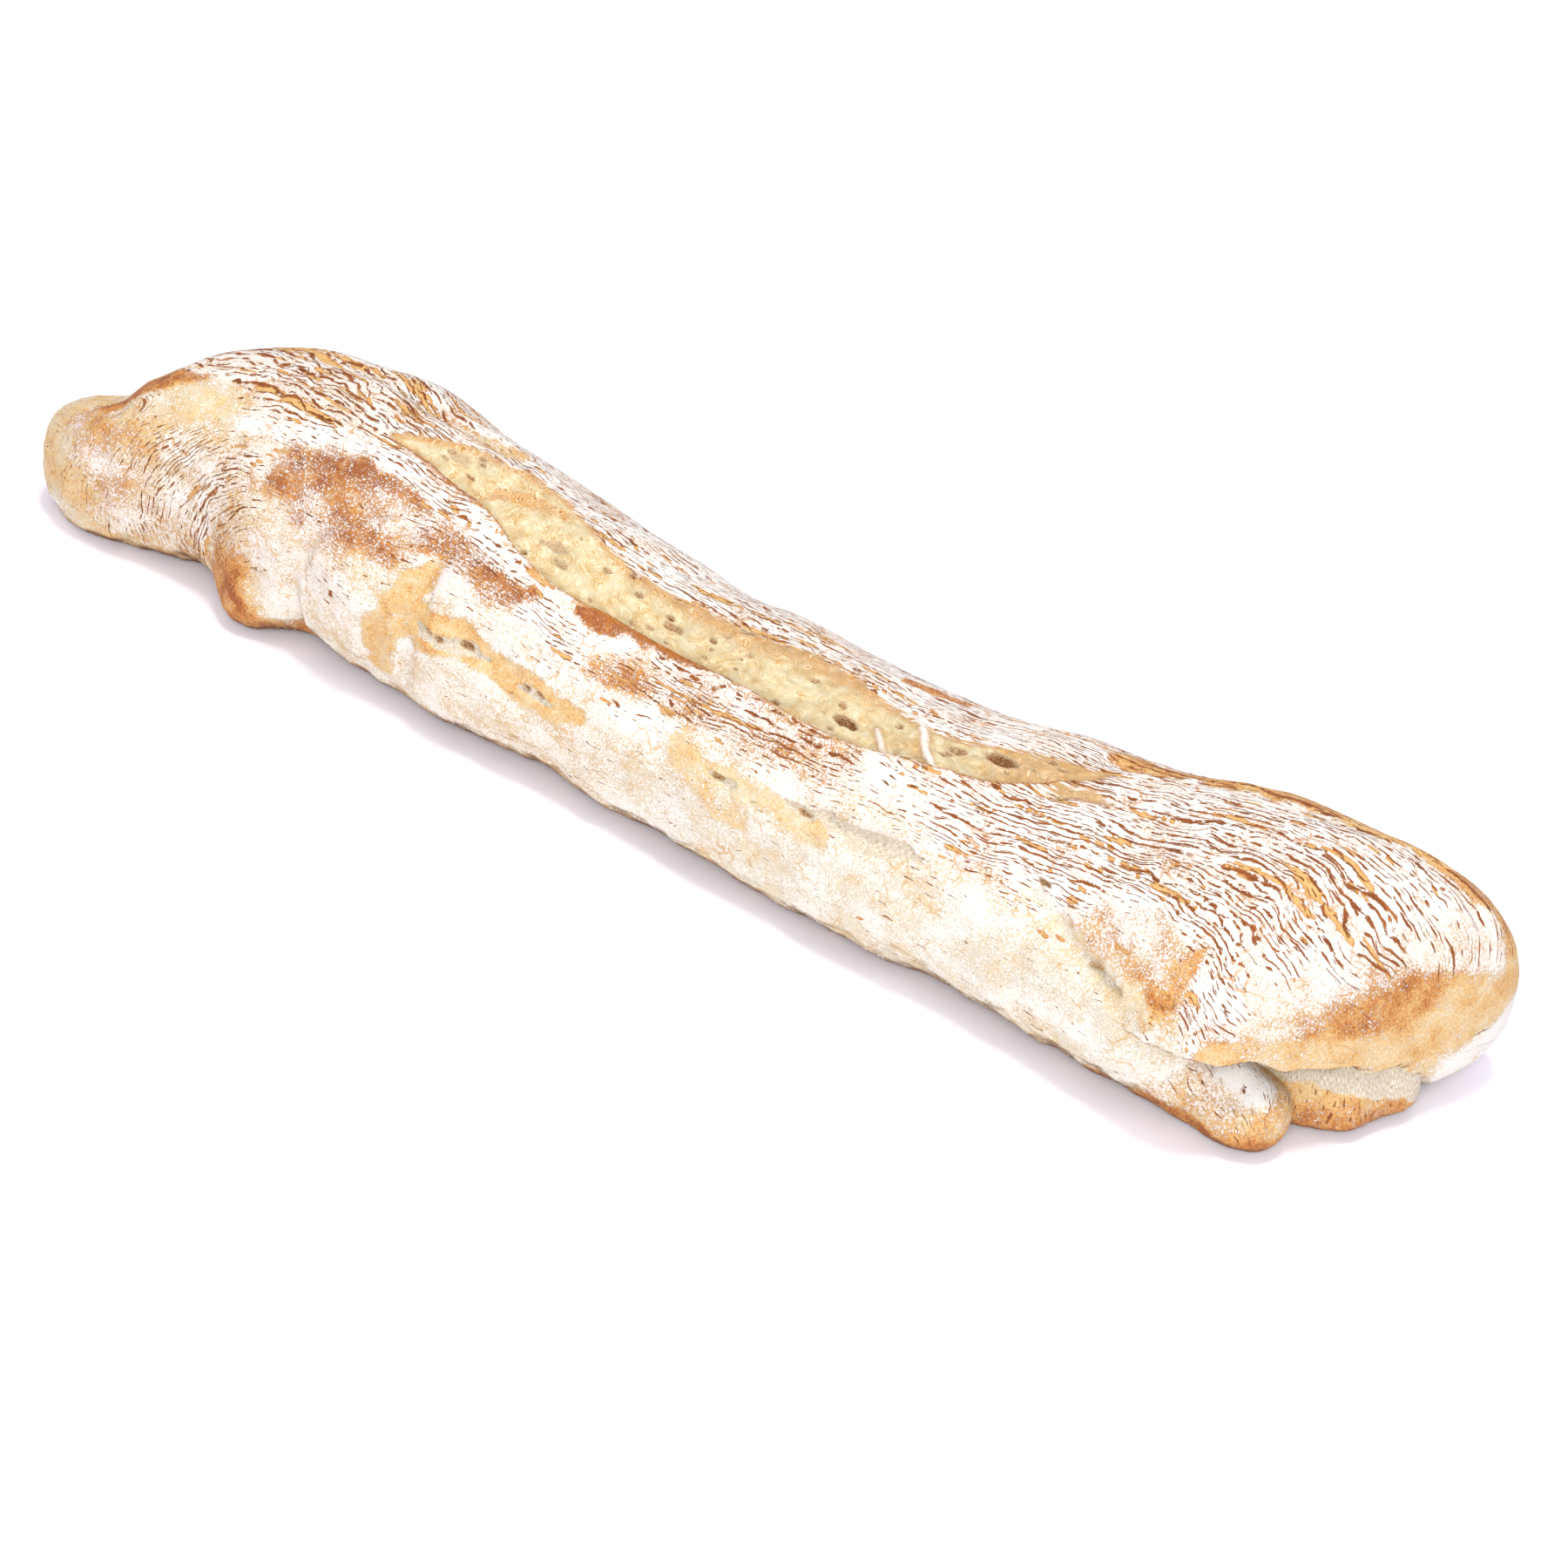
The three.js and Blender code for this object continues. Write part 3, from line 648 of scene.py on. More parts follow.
def blend_patches(levels, inside_of, patches):
    """Blends each patch's flour, bake and cracks over the levels so far."""
    for soft, flour, bake, cracks, spine in patches.values():
        share = smooth_step(-soft, 0, inside_of(spine))
        for key, value in (("flour", flour), ("bake", bake), ("cracks", cracks)):
            levels[key] = levels[key] + (value - levels[key]) * share


def crust_fields(along, angle):
    """The looks of the hull's crust, as fields over (along, angle)."""
    warp = sum(crust_noise(name, along, angle) for name in PATCH_EDGES)
    around = angle + crust_noise("shift round the crust", along, angle)
    levels = {"flour": through(FLOUR_ROUND, around), "bake": through(BAKE_ROUND, around),
              "cracks": through(CRACKS_ROUND, around)}
    blend_patches(levels, lambda spine: spot(spine, along, angle) + warp, PATCHES)
    levels["cracks"] = levels["cracks"] * smooth_step(0.2, 3, HALF - np.abs(along))
    strand = smooth_step(-2, -0.5, strand_field(along, angle)) * (burst_inside(along, angle) > -1)
    levels["cracks"] = levels["cracks"] * (1 - strand)
    levels["flour"] = np.maximum(levels["flour"], 0.85 * strand)
    run, across = flow_lines(along, angle)
    depth, dark = pit_fields(along, angle)
    window = np.full(along.shape, FAR_OUTSIDE)
    for seed, hollow in enumerate(WINDOWS):
        away = spot(hollow["spine"], along, angle)
        window = np.maximum(window, ragged(away, along, angle, 4, hollow["ragged"], 61 + seed))
    crumb = np.maximum(tear_depth_in(along, angle), FAR_OUTSIDE)
    crumb = np.minimum(crumb, -strand_field(along, angle))
    return {**levels, "crumb": crumb, "pit": dark, "pit depth": depth, "window": window,
            "crevice": crevice_shade_field(along, angle), "toast": toast_field(along, angle),
            "run": run, "across": across}


def splits(run, across, level):
    """Wider splits in the flour, from 0 to 1: long lenses along the stretch."""
    swaying = across + noise("sway of the splits", run, across)
    height = np.maximum(noise("large splits", run, swaying), noise("small splits", run, swaying) - 0.14)
    height = height + noise("where splits are", run, across) + 0.6 * (level - 1)
    return smooth_step(*SPLIT_EDGE, height)


def fine_relief(along, angle, looks):
    """Relief finer than the solid's: edges of the flour skin, pits, splits and crumb."""
    inside_crumb = smooth_step(-0.6, 0.9, looks["crumb"])
    is_burst = smooth_step(-1, 1, burst_inside(along, angle))
    drop = -0.7 * inside_crumb * (1 - is_burst)
    lumps = crust_noise("broad lumps", along, angle)
    lumps = lumps + smooth_step(*LOWER_SIDE, angle) * crust_noise("lumps low down", along, angle)
    lean = crust_noise("lean of the fibres", along, angle)
    slanted = angle * DEGREE - along * (FIBRE_SLANT + 0.1 * lean)
    fibre = FIBRE_HEIGHT * layered_noise(along / FIBRE_LENGTH + lean, slanted / FIBRE_WIDTH, seed=95)
    crumb_relief = (crust_noise("crumb bumps", along, angle) + fibre) * inside_crumb
    strand = 0.9 * smooth_step(-0.6, 0.5, strand_field(along, angle)) * is_burst
    window = smooth_step(-0.6, 0.6, looks["window"])
    strings = layered_noise(along / 1.1 + lean, angle * DEGREE / 6, seed=97, layers=2)
    window_relief = window * (-1 + 0.5 * strings)
    skin = noise("flour skin", looks["run"], looks["across"]) - SPLIT_DEPTH * looks["split"]
    crust = skin * (1 - inside_crumb) * (1 - window)
    return lumps + drop + crumb_relief + strand + window_relief + crust - looks["pit depth"]


def even_steps(low, high, count):
    return low + (high - low) * np.arange(count) / count


def hull_grid():
    """Stations and angles of the fine hull's grid, its columns kept to the burst's edges."""
    cap = 1 - np.cos(np.linspace(0, np.pi / 2, CAP_RINGS)[1:])
    body = np.arange(FAR_END_ROUND - HALF, HALF - NEAR_END_ROUND, STEP)[1:]
    near = (HALF - NEAR_END_ROUND * cap)[::-1]
    stations = np.concatenate([FAR_END_ROUND * cap - HALF, body, near])
    outside = np.maximum(BURST_FROM - stations, stations - BURST_TO)
    widen = COLUMNS_SPREAD * smooth_step(0, COLUMNS_SPREAD_OVER, outside)
    rear, front = burst_edges(stations)
    rear, front = rear - widen, front + widen
    crevice = rear + (front - rear) * CREVICE_SHARE
    rows = []
    for a, b, c in zip(rear, crevice, front):
        rows.append(np.concatenate([
            even_steps(BOTTOM - 360, REAR_HIP, COLUMNS["bottom"]),
            even_steps(REAR_HIP, a, COLUMNS["rear"]),
            even_steps(a, b, COLUMNS["crumb"]),
            even_steps(b, c, COLUMNS["crevice"]),
            even_steps(c, FRONT_HIP, COLUMNS["front"]),
            even_steps(FRONT_HIP, BOTTOM, COLUMNS["bottom"]),
        ]))
    angle = np.array(rows)
    along = np.repeat(stations[:, None], angle.shape[1], axis=1)
    return along, angle


def closed_skin(rings, first_pole, last_pole):
    """Points and faces of a closed skin over rings of points, with a pole at each end."""
    count, size, _ = rings.shape
    points = np.concatenate([[first_pole], rings.reshape(-1, 3), [last_pole]])
    index = 1 + np.arange(count * size).reshape(count, size)
    ahead = np.roll(index, -1, axis=1)
    quads = np.stack([index[:-1], ahead[:-1], ahead[1:], index[1:]], -1).reshape(-1, 4)
    last = len(points) - 1
    first_fan = np.stack([np.zeros(size, int), ahead[0], index[0]], -1)
    last_fan = np.stack([np.full(size, last), index[-1], ahead[-1]], -1)
    return points, quads.tolist() + first_fan.tolist() + last_fan.tolist()


FIELDS = ("flour", "bake", "cracks", "crumb", "crevice", "toast", "pit", "window", "split")


def make_object(name, points, faces, looks):
    """A mesh object from points in millimetres, with its looks stored on its points."""
    mesh = bpy.data.meshes.new(name)
    mesh.from_pydata((points * MM).tolist(), [], faces)
    for field in FIELDS:
        store = mesh.attributes.new(field, "FLOAT", "POINT")
        store.data.foreach_set("value", looks[field].astype(np.float32))
    known = mesh.attributes.new("known", "FLOAT", "POINT")
    known.data.foreach_set("value", np.ones(len(points), np.float32))
    flow = mesh.attributes.new("flow", "FLOAT_VECTOR", "POINT")
    flat = np.stack([looks["run"], looks["across"], np.zeros(len(points))], -1)
    flow.data.foreach_set("vector", flat.astype(np.float32).ravel())
    piece = bpy.data.objects.new(name, mesh)
    bpy.context.scene.collection.objects.link(piece)
    return piece


def plain_looks(shape, **given):
    """Looks of a skin without crumb, pits or splits, apart from what is given."""
    outside = ("crumb", "crevice", "window")
    looks = {field: np.full(shape, FAR_OUTSIDE if field in outside else 0.0) for field in FIELDS}
    return {**looks, **given}


def with_poles(values):
    """The values of a skin's rings in one line, with those of its two poles."""
    return np.concatenate([values[0, :1], values.ravel(), values[-1, :1]])


def skin_object(name, rings, first_pole, last_pole, looks):
    points, faces = closed_skin(rings, first_pole, last_pole)
    return make_object(name, points, faces, {key: with_poles(value) for key, value in looks.items()})


def hull_object():
    along, angle = hull_grid()
    looks = crust_fields(along, angle)
    relief = large_relief(along, angle)
    lean = lip_lean(along, angle)
    x, y, z = hull_point(along, angle, relief, lean)
    uneven = noise("end patch edges", x, y, z)
    blend_patches(looks, lambda spine: string_of_balls(spine, x, y, z) + uneven, END_PATCHES)
    looks["split"] = splits(looks["run"], looks["across"], looks["cracks"])
    relief = relief + fine_relief(along, angle, looks)
    rings = np.stack(hull_point(along, angle, relief, lean), -1)
    poles = np.stack(hull_point(np.array([-HALF, HALF]), np.zeros(2), np.zeros(2)), -1)
    return skin_object("crusty_loaf", rings, *poles, looks)


def tongue_ripple(turn):
    ripple = 1
    for wave in TONGUE_RIPPLES:
        ripple = ripple + wave["share"] * np.sin(np.radians(wave["folds"] * turn + wave["start"]))
    return ripple


def tongue_object():
    """The baked tongue of dough that sticks out under the fold."""
    climb = np.linspace(-90, 90, TONGUE_RINGS + 1)[1:-1]
    turn = even_steps(0, 360, TONGUE_COLUMNS)
    climb, turn = np.meshgrid(climb, turn, indexing="ij")
    rise, around = np.radians(climb), np.radians(turn)
    power = 2 / TONGUE["power"]
    height = np.sign(rise) * np.abs(np.sin(rise)) ** power
    half = np.where(height > 0, TONGUE["height"] - TONGUE["belt"], TONGUE["belt"] + SINK)
    z = TONGUE["belt"] + half * height
    skin = noise("tongue skin", turn, z) + noise("fine tongue skin", turn, z)
    reach = np.cos(rise) ** power * (tongue_ripple(turn) + skin / TONGUE["wide"])
    x = TONGUE["x"] + TONGUE["long"] * reach * np.cos(around)
    y = TONGUE["y"] + TONGUE["wide"] * reach * np.sin(around)
    wobble = noise("tongue wobble", turn, z)
    streak = noise("tongue streaks", turn, z)
    low = smooth_step(14, 4, z + 4 * wobble)
    looks = plain_looks(
        z.shape,
        flour=0.26 + 0.16 * streak,
        bake=0.45 + 0.32 * low + 0.12 * wobble,
        cracks=np.full(z.shape, 0.4),
        # The tongue's band just under the fold gets the window look: painted shade of the gap under the
        # fold
        window=z - through(FOLD_HEIGHT, y) + 8 + 2 * wobble,
        run=z,
        across=turn * 0.45,
    )
    return skin_object("tongue", np.stack([x, y, z], -1), (TONGUE["x"], TONGUE["y"], -SINK),
                       (TONGUE["x"], TONGUE["y"], TONGUE["height"]), looks)


def roll_object():
    """The rolled foot along the front of the near end, with its floured tip."""
    start = np.array([*ROLL_FROM["at"], ROLL_FROM["radius"] - ROLL_SINK])
    end = np.array([*ROLL_TO["at"], ROLL_TO["radius"] - ROLL_SINK])
    length = np.linalg.norm(end - start)
    axis = (end - start) / length
    side = np.array([-axis[1], axis[0], 0]) / np.hypot(axis[0], axis[1])
    up = np.cross(axis, side)
    reach = ROLL_FROM["radius"] + length + ROLL_TO["radius"]
    ease = (1 - np.cos(np.linspace(0, np.pi, ROLL_RINGS + 1)[1:-1])) / 2
    place, turn = np.meshgrid(reach * ease - ROLL_FROM["radius"],
                              even_steps(0, 360, ROLL_COLUMNS), indexing="ij")
    share = np.clip(place / length, 0, 1)
    full = ROLL_FROM["radius"] + (ROLL_TO["radius"] - ROLL_FROM["radius"]) * share
    past = np.maximum(0, np.maximum(-place, place - length)) / full
    skin = noise("roll skin", place, turn) + noise("fine roll skin", place, turn)
    radius = full * np.sqrt(np.clip(1 - past * past, 0, 1)) * (1 + skin / full)
    around = np.radians(turn)
    points = (start + place[..., None] * axis + (radius * np.cos(around))[..., None] * side
              + (radius * np.sin(around))[..., None] * up)
    wobble = noise("roll wobble", place, turn)
    x, y, z = np.moveaxis(points, -1, 0)
    low = smooth_step(9, 3, z + 2 * wobble)
    scorch = smooth_step(-2, 2, string_of_balls(ROLL_SCORCH, x, y, z) + 1.5 * wobble)
    floury = smooth_step(-3, 2, string_of_balls(ROLL_TIP, x, y, z) + 1.5 * wobble)
    looks = plain_looks(
        place.shape,
        flour=0.46 + 0.12 * wobble + 0.5 * floury - 0.2 * low - 0.4 * scorch,
        bake=0.58 + 0.25 * low + 0.5 * scorch,
        cracks=np.full(place.shape, 0.55),
        run=place,
        across=radius * around,
    )
    return skin_object("roll", points, start - ROLL_FROM["radius"] * axis,
                       end + ROLL_TO["radius"] * axis, looks)


def read_values(mesh, field, size=1):
    values = np.zeros(len(mesh.vertices) * size, np.float32)
    kind = "value" if size == 1 else "vector"
    mesh.attributes[field].data.foreach_get(kind, values)
    return values.reshape(-1, size)


def fill_seam(mesh):
    """Points made where two skins cross have no looks yet: they take their neighbours' mean."""
    known = read_values(mesh, "known")[:, 0] > 0.5
    edges = np.zeros(len(mesh.edges) * 2, np.int32)
    mesh.edges.foreach_get("vertices", edges)
    edges = edges.reshape(-1, 2)
    both_ways = np.concatenate([edges, edges[:, ::-1]])
    both_ways = both_ways[~known[both_ways[:, 0]] & known[both_ways[:, 1]]]
    count = np.bincount(both_ways[:, 0], minlength=len(known))[:, None]
    for field, size in [(name, 1) for name in FIELDS] + [("flow", 3)]:
        values = read_values(mesh, field, size)
        total = np.zeros(values.shape)
        np.add.at(total, both_ways[:, 0], values[both_ways[:, 1]])
        seam = ~known & (count[:, 0] > 0)
        values[seam] = (total[seam] / count[seam]).astype(np.float32)
        kind = "value" if size == 1 else "vector"
        mesh.attributes[field].data.foreach_set(kind, values.ravel())
    mesh.attributes.remove(mesh.attributes["known"])


def fused(whole, others):
    """One closed skin from the pieces, the inner parts of which are gone."""
    for other in others:
        union = whole.modifiers.new("union", "BOOLEAN")
        union.operation = "UNION"
        union.solver = "MANIFOLD"
        union.object = other
    view = bpy.context.evaluated_depsgraph_get()
    mesh = bpy.data.meshes.new_from_object(whole.evaluated_get(view))
    whole.modifiers.clear()
    whole.data = mesh
    for other in others:
        bpy.data.objects.remove(other)
    fill_seam(mesh)
    return whole


def drop_inner_shells(piece):
    """Keeps the largest of the mesh's separate shells."""
    grid = bmesh.new()
    grid.from_mesh(piece.data)
    unseen = set(grid.verts)
    shells = []
    while unseen:
        shell = []
        edge_of_shell = [unseen.pop()]
        while edge_of_shell:
            vertex = edge_of_shell.pop()
            shell.append(vertex)
            for edge in vertex.link_edges:
                other = edge.other_vert(vertex)
                if other in unseen:
                    unseen.remove(other)
                    edge_of_shell.append(other)
        shells.append(shell)
    shells.sort(key=len)
    for shell in shells[:-1]:
        bmesh.ops.delete(grid, geom=shell, context="VERTS")
    grid.to_mesh(piece.data)
    grid.free()


def rest_on_floor(piece):
    """Eases everything below the floor up to it, into a flat underside with a rounded rim."""
    points = np.zeros(len(piece.data.vertices) * 3, np.float32)
    piece.data.vertices.foreach_get("co", points)
    points = points.reshape(-1, 3)
    z = points[:, 2] / MM
    eased = (z + np.sqrt(z * z + RIM_EASE**2)) / 2
    points[:, 2] = (eased - eased.min()) * MM
    piece.data.vertices.foreach_set("co", points.ravel())
    piece.data.update()


def loaf():
    whole = fused(hull_object(), [tongue_object(), roll_object()])
    drop_inner_shells(whole)
    rest_on_floor(whole)
    whole.data.shade_smooth()
    return whole


def linear(red, green, blue):
    """A colour as it looks in the picture, made into one that gives it under the scene's light."""
    shown = np.array([red, green, blue])
    plain = np.where(shown <= 0.04045, shown / 12.92, ((shown + 0.055) / 1.055) ** 2.4)
    return (*(plain / LIGHT_LEVEL), 1)


CREAM = linear(0.97, 0.94, 0.84)
PALE_TAN = linear(0.95, 0.85, 0.66)
GOLDEN = linear(0.93, 0.76, 0.5)
ORANGE_BROWN = linear(0.84, 0.57, 0.3)
RED_BROWN = linear(0.66, 0.38, 0.2)
# Darker bottom crust, also serving as painted shadow for the dark contact line along the lower edge
BOTTOM_CRUST_AND_CONTACT_SHADOW = linear(0.5, 0.34, 0.24)
FLOUR = linear(1.0, 0.99, 0.965)
CRACK_EDGE = linear(0.84, 0.59, 0.36)
CRACK = linear(0.68, 0.39, 0.19)
CRACK_DARK = linear(0.5, 0.28, 0.15)
SPLIT = linear(0.89, 0.68, 0.42)
# Painted shade in the crevice under the torn lip
PAINTED_CREVICE_SHADE = linear(0.72, 0.43, 0.15)
CRUMB_OCHRE = linear(0.88, 0.69, 0.41)
CRUMB = linear(0.96, 0.865, 0.64)
CRUMB_LIGHT = linear(1.0, 0.965, 0.83)
CRUMB_GREY = linear(0.88, 0.82, 0.68)
TOAST = linear(0.9, 0.65, 0.34)
TOAST_DARK = linear(0.72, 0.45, 0.22)
PIT_PALE = linear(0.9, 0.82, 0.67)
PIT_GREY = linear(0.78, 0.63, 0.46)
# Dark middle of a pit: partly its own brown, partly painted shade in the hole
PIT_BROWN_AND_SHADE = linear(0.52, 0.34, 0.19)
# Thin skin over bubbles; on the tongue under the fold the same colours are painted shade of the gap there
STRING_DARK_AND_FOLD_SHADE = linear(0.78, 0.7, 0.58)
WINDOW_GREY_AND_FOLD_SHADE = linear(0.91, 0.86, 0.76)
WINDOW_LIGHT_AND_FOLD_SHADE = linear(1.0, 0.98, 0.92)
PAPER = (0.93, 0.905, 0.965, 1)


class Nodes:
    """A short way to write one material's nodes."""

    def __init__(self, name):
        self.material = bpy.data.materials.new(name)
        self.material.use_nodes = True
        self.tree = self.material.node_tree
        self.tree.nodes.clear()

    def add(self, kind, sockets=None, **settings):
        made = self.tree.nodes.new(kind)
        for name, value in settings.items():
            setattr(made, name, value)
        for name, value in (sockets or {}).items():
            if isinstance(value, bpy.types.NodeSocket):
                self.tree.links.new(value, made.inputs[name])
            else:
                made.inputs[name].default_value = value
        return made

    def maths(self, operation, first, second=0.0, clamp=False):
        return self.add("ShaderNodeMath", {0: first, 1: second}, operation=operation,
                        use_clamp=clamp).outputs[0]

    def plus(self, total, *others):
        for other in others:
            total = self.maths("ADD", total, other)
        return total

    def times(self, product, *others):
        for other in others:
            product = self.maths("MULTIPLY", product, other)
        return product

    def either(self, first, second):
        return self.maths("MAXIMUM", first, second)

    def step(self, value, low, high):
        """0 below low and 1 above high, eased between them."""
        return self.add("ShaderNodeMapRange", {"Value": value, "From Min": low, "From Max": high},
                        interpolation_type="SMOOTHSTEP").outputs[0]

    def mix(self, share, first, second):
        made = self.add("ShaderNodeMix", data_type="RGBA")
        for socket, value in zip((made.inputs[0], made.inputs[6], made.inputs[7]),
                                 (share, first, second)):
            if isinstance(value, bpy.types.NodeSocket):
                self.tree.links.new(value, socket)
            else:
                socket.default_value = value
        return made.outputs[2]

    def paint(self, colour, over, value, low, high, most=1.0):
        """The colour with another over it, from none of it at low to most of it at high."""
        return self.mix(self.times(self.step(value, low, high), most), colour, over)

    def field(self, name):
        return self.add("ShaderNodeAttribute", attribute_name=name).outputs["Fac"]

    def vector_field(self, name):
        return self.add("ShaderNodeAttribute", attribute_name=name).outputs["Vector"]

    def part(self, vector, axis):
        return self.add("ShaderNodeSeparateXYZ", {"Vector": vector}).outputs[axis]

    def facing_up(self):
        """1 where the surface faces up, -1 where it faces down."""
        return self.part(self.add("ShaderNodeNewGeometry").outputs["Normal"], "Z")

    def scaled(self, vector, sizes, shift=(0, 0, 0)):
        """The vector in millimetres measured in units of sizes, one for all axes or one for each."""
        sizes = np.broadcast_to(sizes, 3)
        return self.add("ShaderNodeMapping", {
            "Vector": vector,
            "Location": shift,
            "Scale": [1 / size for size in sizes.tolist()],
        }).outputs[0]

    def noise(self, vector, sizes, detail=2.0, roughness=0.5, shift=(0, 0, 0), distortion=0.0):
        """Noise about zero, mostly between -1 and 1, with waves about as long as sizes."""
        made = self.add("ShaderNodeTexNoise", {
            "Vector": self.scaled(vector, sizes, shift), "Scale": 1.0, "Detail": detail,
            "Roughness": roughness, "Distortion": distortion,
        })
        return self.add("ShaderNodeMath", {0: made.outputs["Fac"], 1: 4.0, 2: -2.0},
                        operation="MULTIPLY_ADD").outputs[0]

    def ramp(self, value, stops):
        """Colours at places from 0 to 1."""
        made = self.add("ShaderNodeValToRGB", {"Fac": value})
        points = made.color_ramp.elements
        while len(points) < len(stops):
            points.new(0.5)
        for point, (place, colour) in zip(points, stops):
            point.position = place
            point.color = colour
        return made.outputs["Color"]


def moved(n, vector, sideways):
    """The stretch coordinates moved across the stretch."""
    offset = n.add("ShaderNodeCombineXYZ", {"Y": sideways}).outputs[0]
    return n.add("ShaderNodeVectorMath", {0: vector, 1: offset}, operation="ADD").outputs[0]


def wavy_stretch(n, place):
    """Coordinates along and across the stretch of the dough, with wavy lines."""
    sway = n.times(n.noise(place, 18), 1.5)
    quiver = n.times(n.noise(place, 4), 0.3)
    return moved(n, n.vector_field("flow"), n.plus(sway, quiver))


def crust_colour(n, place, grain):
    """Baked dough without flour, from cream to red brown, and darker brown where it faces down: partly the
    darker bottom crust, partly painted shadow for the dark contact line along the loaf's lower edge.
    """
    mottled = n.times(n.noise(place, 6, 3.0, 0.6), 0.24)
    bake = n.plus(n.field("bake"), mottled, n.times(grain, 0.26))
    colour = n.ramp(bake, [(0.0, CREAM), (0.28, PALE_TAN), (0.5, GOLDEN), (0.75, ORANGE_BROWN),
                           (1.0, RED_BROWN)])
    # Surfaces facing down are painted darker brown: partly the real bottom crust, partly painted contact
    # shadow along the lower edge
    return n.paint(colour, BOTTOM_CRUST_AND_CONTACT_SHADOW, n.facing_up(), -0.35, -0.75)


def flour_level(n, place, grain, lines):
    """How thick the flour lies: patchy, in flecks where it is thin, and rubbed off at cracks."""
    patchy = n.times(n.noise(place, (16, 11, 11), 4.0, 0.6), 0.25)
    flecks = n.times(n.maths("ABSOLUTE", n.noise(place, 0.9, 1.0)), 0.36)
    level = n.plus(n.field("flour"), patchy, flecks, -0.1)
    rubbed = n.times(n.step(lines, -0.6, 0.1), n.field("cracks"), -0.1)
    under = n.times(n.step(n.facing_up(), -0.3, -0.8), -0.3)
    return n.plus(level, n.times(grain, 0.24), rubbed, under)


# Two sets of crack lines: millimetres from line to line, the widest line, and where their noise starts
CRACK_ROWS = [{"spacing": 2.2, "width": 0.34, "shift": 0}, {"spacing": 1.3, "width": 0.22, "shift": 4}]


def crack_lines(n, flow, grain, spacing, width, shift):
    """Thin broken lines along the stretch, in millimetres: above 0 inside a line."""
    across = n.part(flow, "Y")
    wander = n.times(n.noise(flow, (26, 8, 1), 1.0, shift=(shift, 0, 0)), 0.9)
    row = n.plus(n.times(across, 1 / spacing), wander, n.times(grain, 0.05))
    away = n.times(n.maths("PINGPONG", row, 0.5), spacing)
    breaks = n.noise(flow, (3, 0.7 * spacing, 1), shift=(5, 2, shift))
    clusters = n.times(n.noise(flow, (22, 8, 1), shift=(3, 7, shift)), 0.6)
    level = n.plus(n.times(n.field("cracks"), 1.15), breaks, clusters)
    wide = n.times(n.step(level, 0.72, 1.5), width)
    return n.maths("SUBTRACT", wide, away)


def fine_net(n, place):
    """A fine irregular net of tan lines: above 0 inside a line."""
    bent = n.add("ShaderNodeTexNoise", {"Vector": n.scaled(place, 5), "Scale": 1.0, "Detail": 2.0})
    warped = n.add("ShaderNodeVectorMath", {0: bent.outputs["Color"], 1: (5, 5, 5), 2: place},
                   operation="MULTIPLY_ADD").outputs[0]
    cells = n.add("ShaderNodeTexVoronoi", {"Vector": n.scaled(warped, 4.5), "Scale": 1.0},
                  feature="DISTANCE_TO_EDGE").outputs["Distance"]
    patchy = n.times(n.noise(place, 9), 0.07)
    wide = n.plus(patchy, n.times(n.field("cracks"), 0.01), 0.015)
    return n.maths("SUBTRACT", wide, cells)


def crumb_colour(n, place, flow, inside, grain):
    """Golden crumb with swirling fibres, toasted near the edges of the burst."""
    turn = n.times(n.noise(place, 9, 1.0), 1.2)
    fibres = n.add("ShaderNodeVectorRotate", {"Vector": flow, "Angle": n.plus(turn, 0.7)},
                   rotation_type="Z_AXIS").outputs[0]
    fibre = n.noise(fibres, (6, 0.9, 1), 3.0, 0.6)
    strand = n.noise(fibres, (8, 1.3, 1), 1.0, shift=(4, 9, 0), distortion=0.6)
    cloud = n.noise(place, 4, 3.0)
    tone = n.plus(n.times(fibre, 0.85), n.times(cloud, 0.5), 0.5)
    colour = n.ramp(tone, [(0.1, CRUMB_OCHRE), (0.48, CRUMB), (0.9, CRUMB_LIGHT)])
    bubble = n.noise(fibres, (3.6, 1.8, 1), 1.0, shift=(7, 3, 0))
    colour = n.paint(colour, CRUMB_GREY, bubble, 0.5, 0.7, 0.75)
    colour = n.paint(colour, CRUMB_OCHRE, n.plus(inside, n.times(cloud, 1.2)), 2.4, 0.2, 0.6)
    brown = n.plus(n.field("toast"), n.times(fibre, 0.4), n.times(grain, 0.25))
    colour = n.paint(colour, TOAST, brown, 0.3, 1.1, 0.85)
    colour = n.paint(colour, CRUMB_LIGHT, n.maths("ABSOLUTE", strand), 0.17, 0.06, 0.9)
    thin = n.maths("ABSOLUTE", n.plus(strand, 0.45))
    most = n.plus(n.times(n.field("toast"), 0.5), 0.35)
    return n.paint(colour, TOAST_DARK, thin, 0.18, 0.04, most), fibre


def with_pits(n, colour, grain):
    """Grey-brown hollows over a colour, darkest where they are deep: the pale grey-brown is the skin's own
    colour, the dark middle is painted shade in the hole.
    """
    pit = n.plus(n.field("pit"), n.times(grain, 0.45))
    hollow = n.ramp(pit, [(0.1, PIT_PALE), (0.5, PIT_GREY), (1.0, PIT_BROWN_AND_SHADE)])
    return n.paint(colour, hollow, n.field("pit"), 0.03, 0.3)


def window_and_fold_shade_colour(n, flow):
    """The thin grey skin over a bubble, with its upright strings; the same look on the tongue just under
    the fold is painted shade of the gap there.
    """
    strings = n.noise(flow, (1.1, 0.16, 1), 2.0, 0.6)
    return n.ramp(n.plus(n.times(strings, 0.8), 0.44),
                  [(0.15, STRING_DARK_AND_FOLD_SHADE), (0.45, WINDOW_GREY_AND_FOLD_SHADE), (0.8, WINDOW_LIGHT_AND_FOLD_SHADE)])


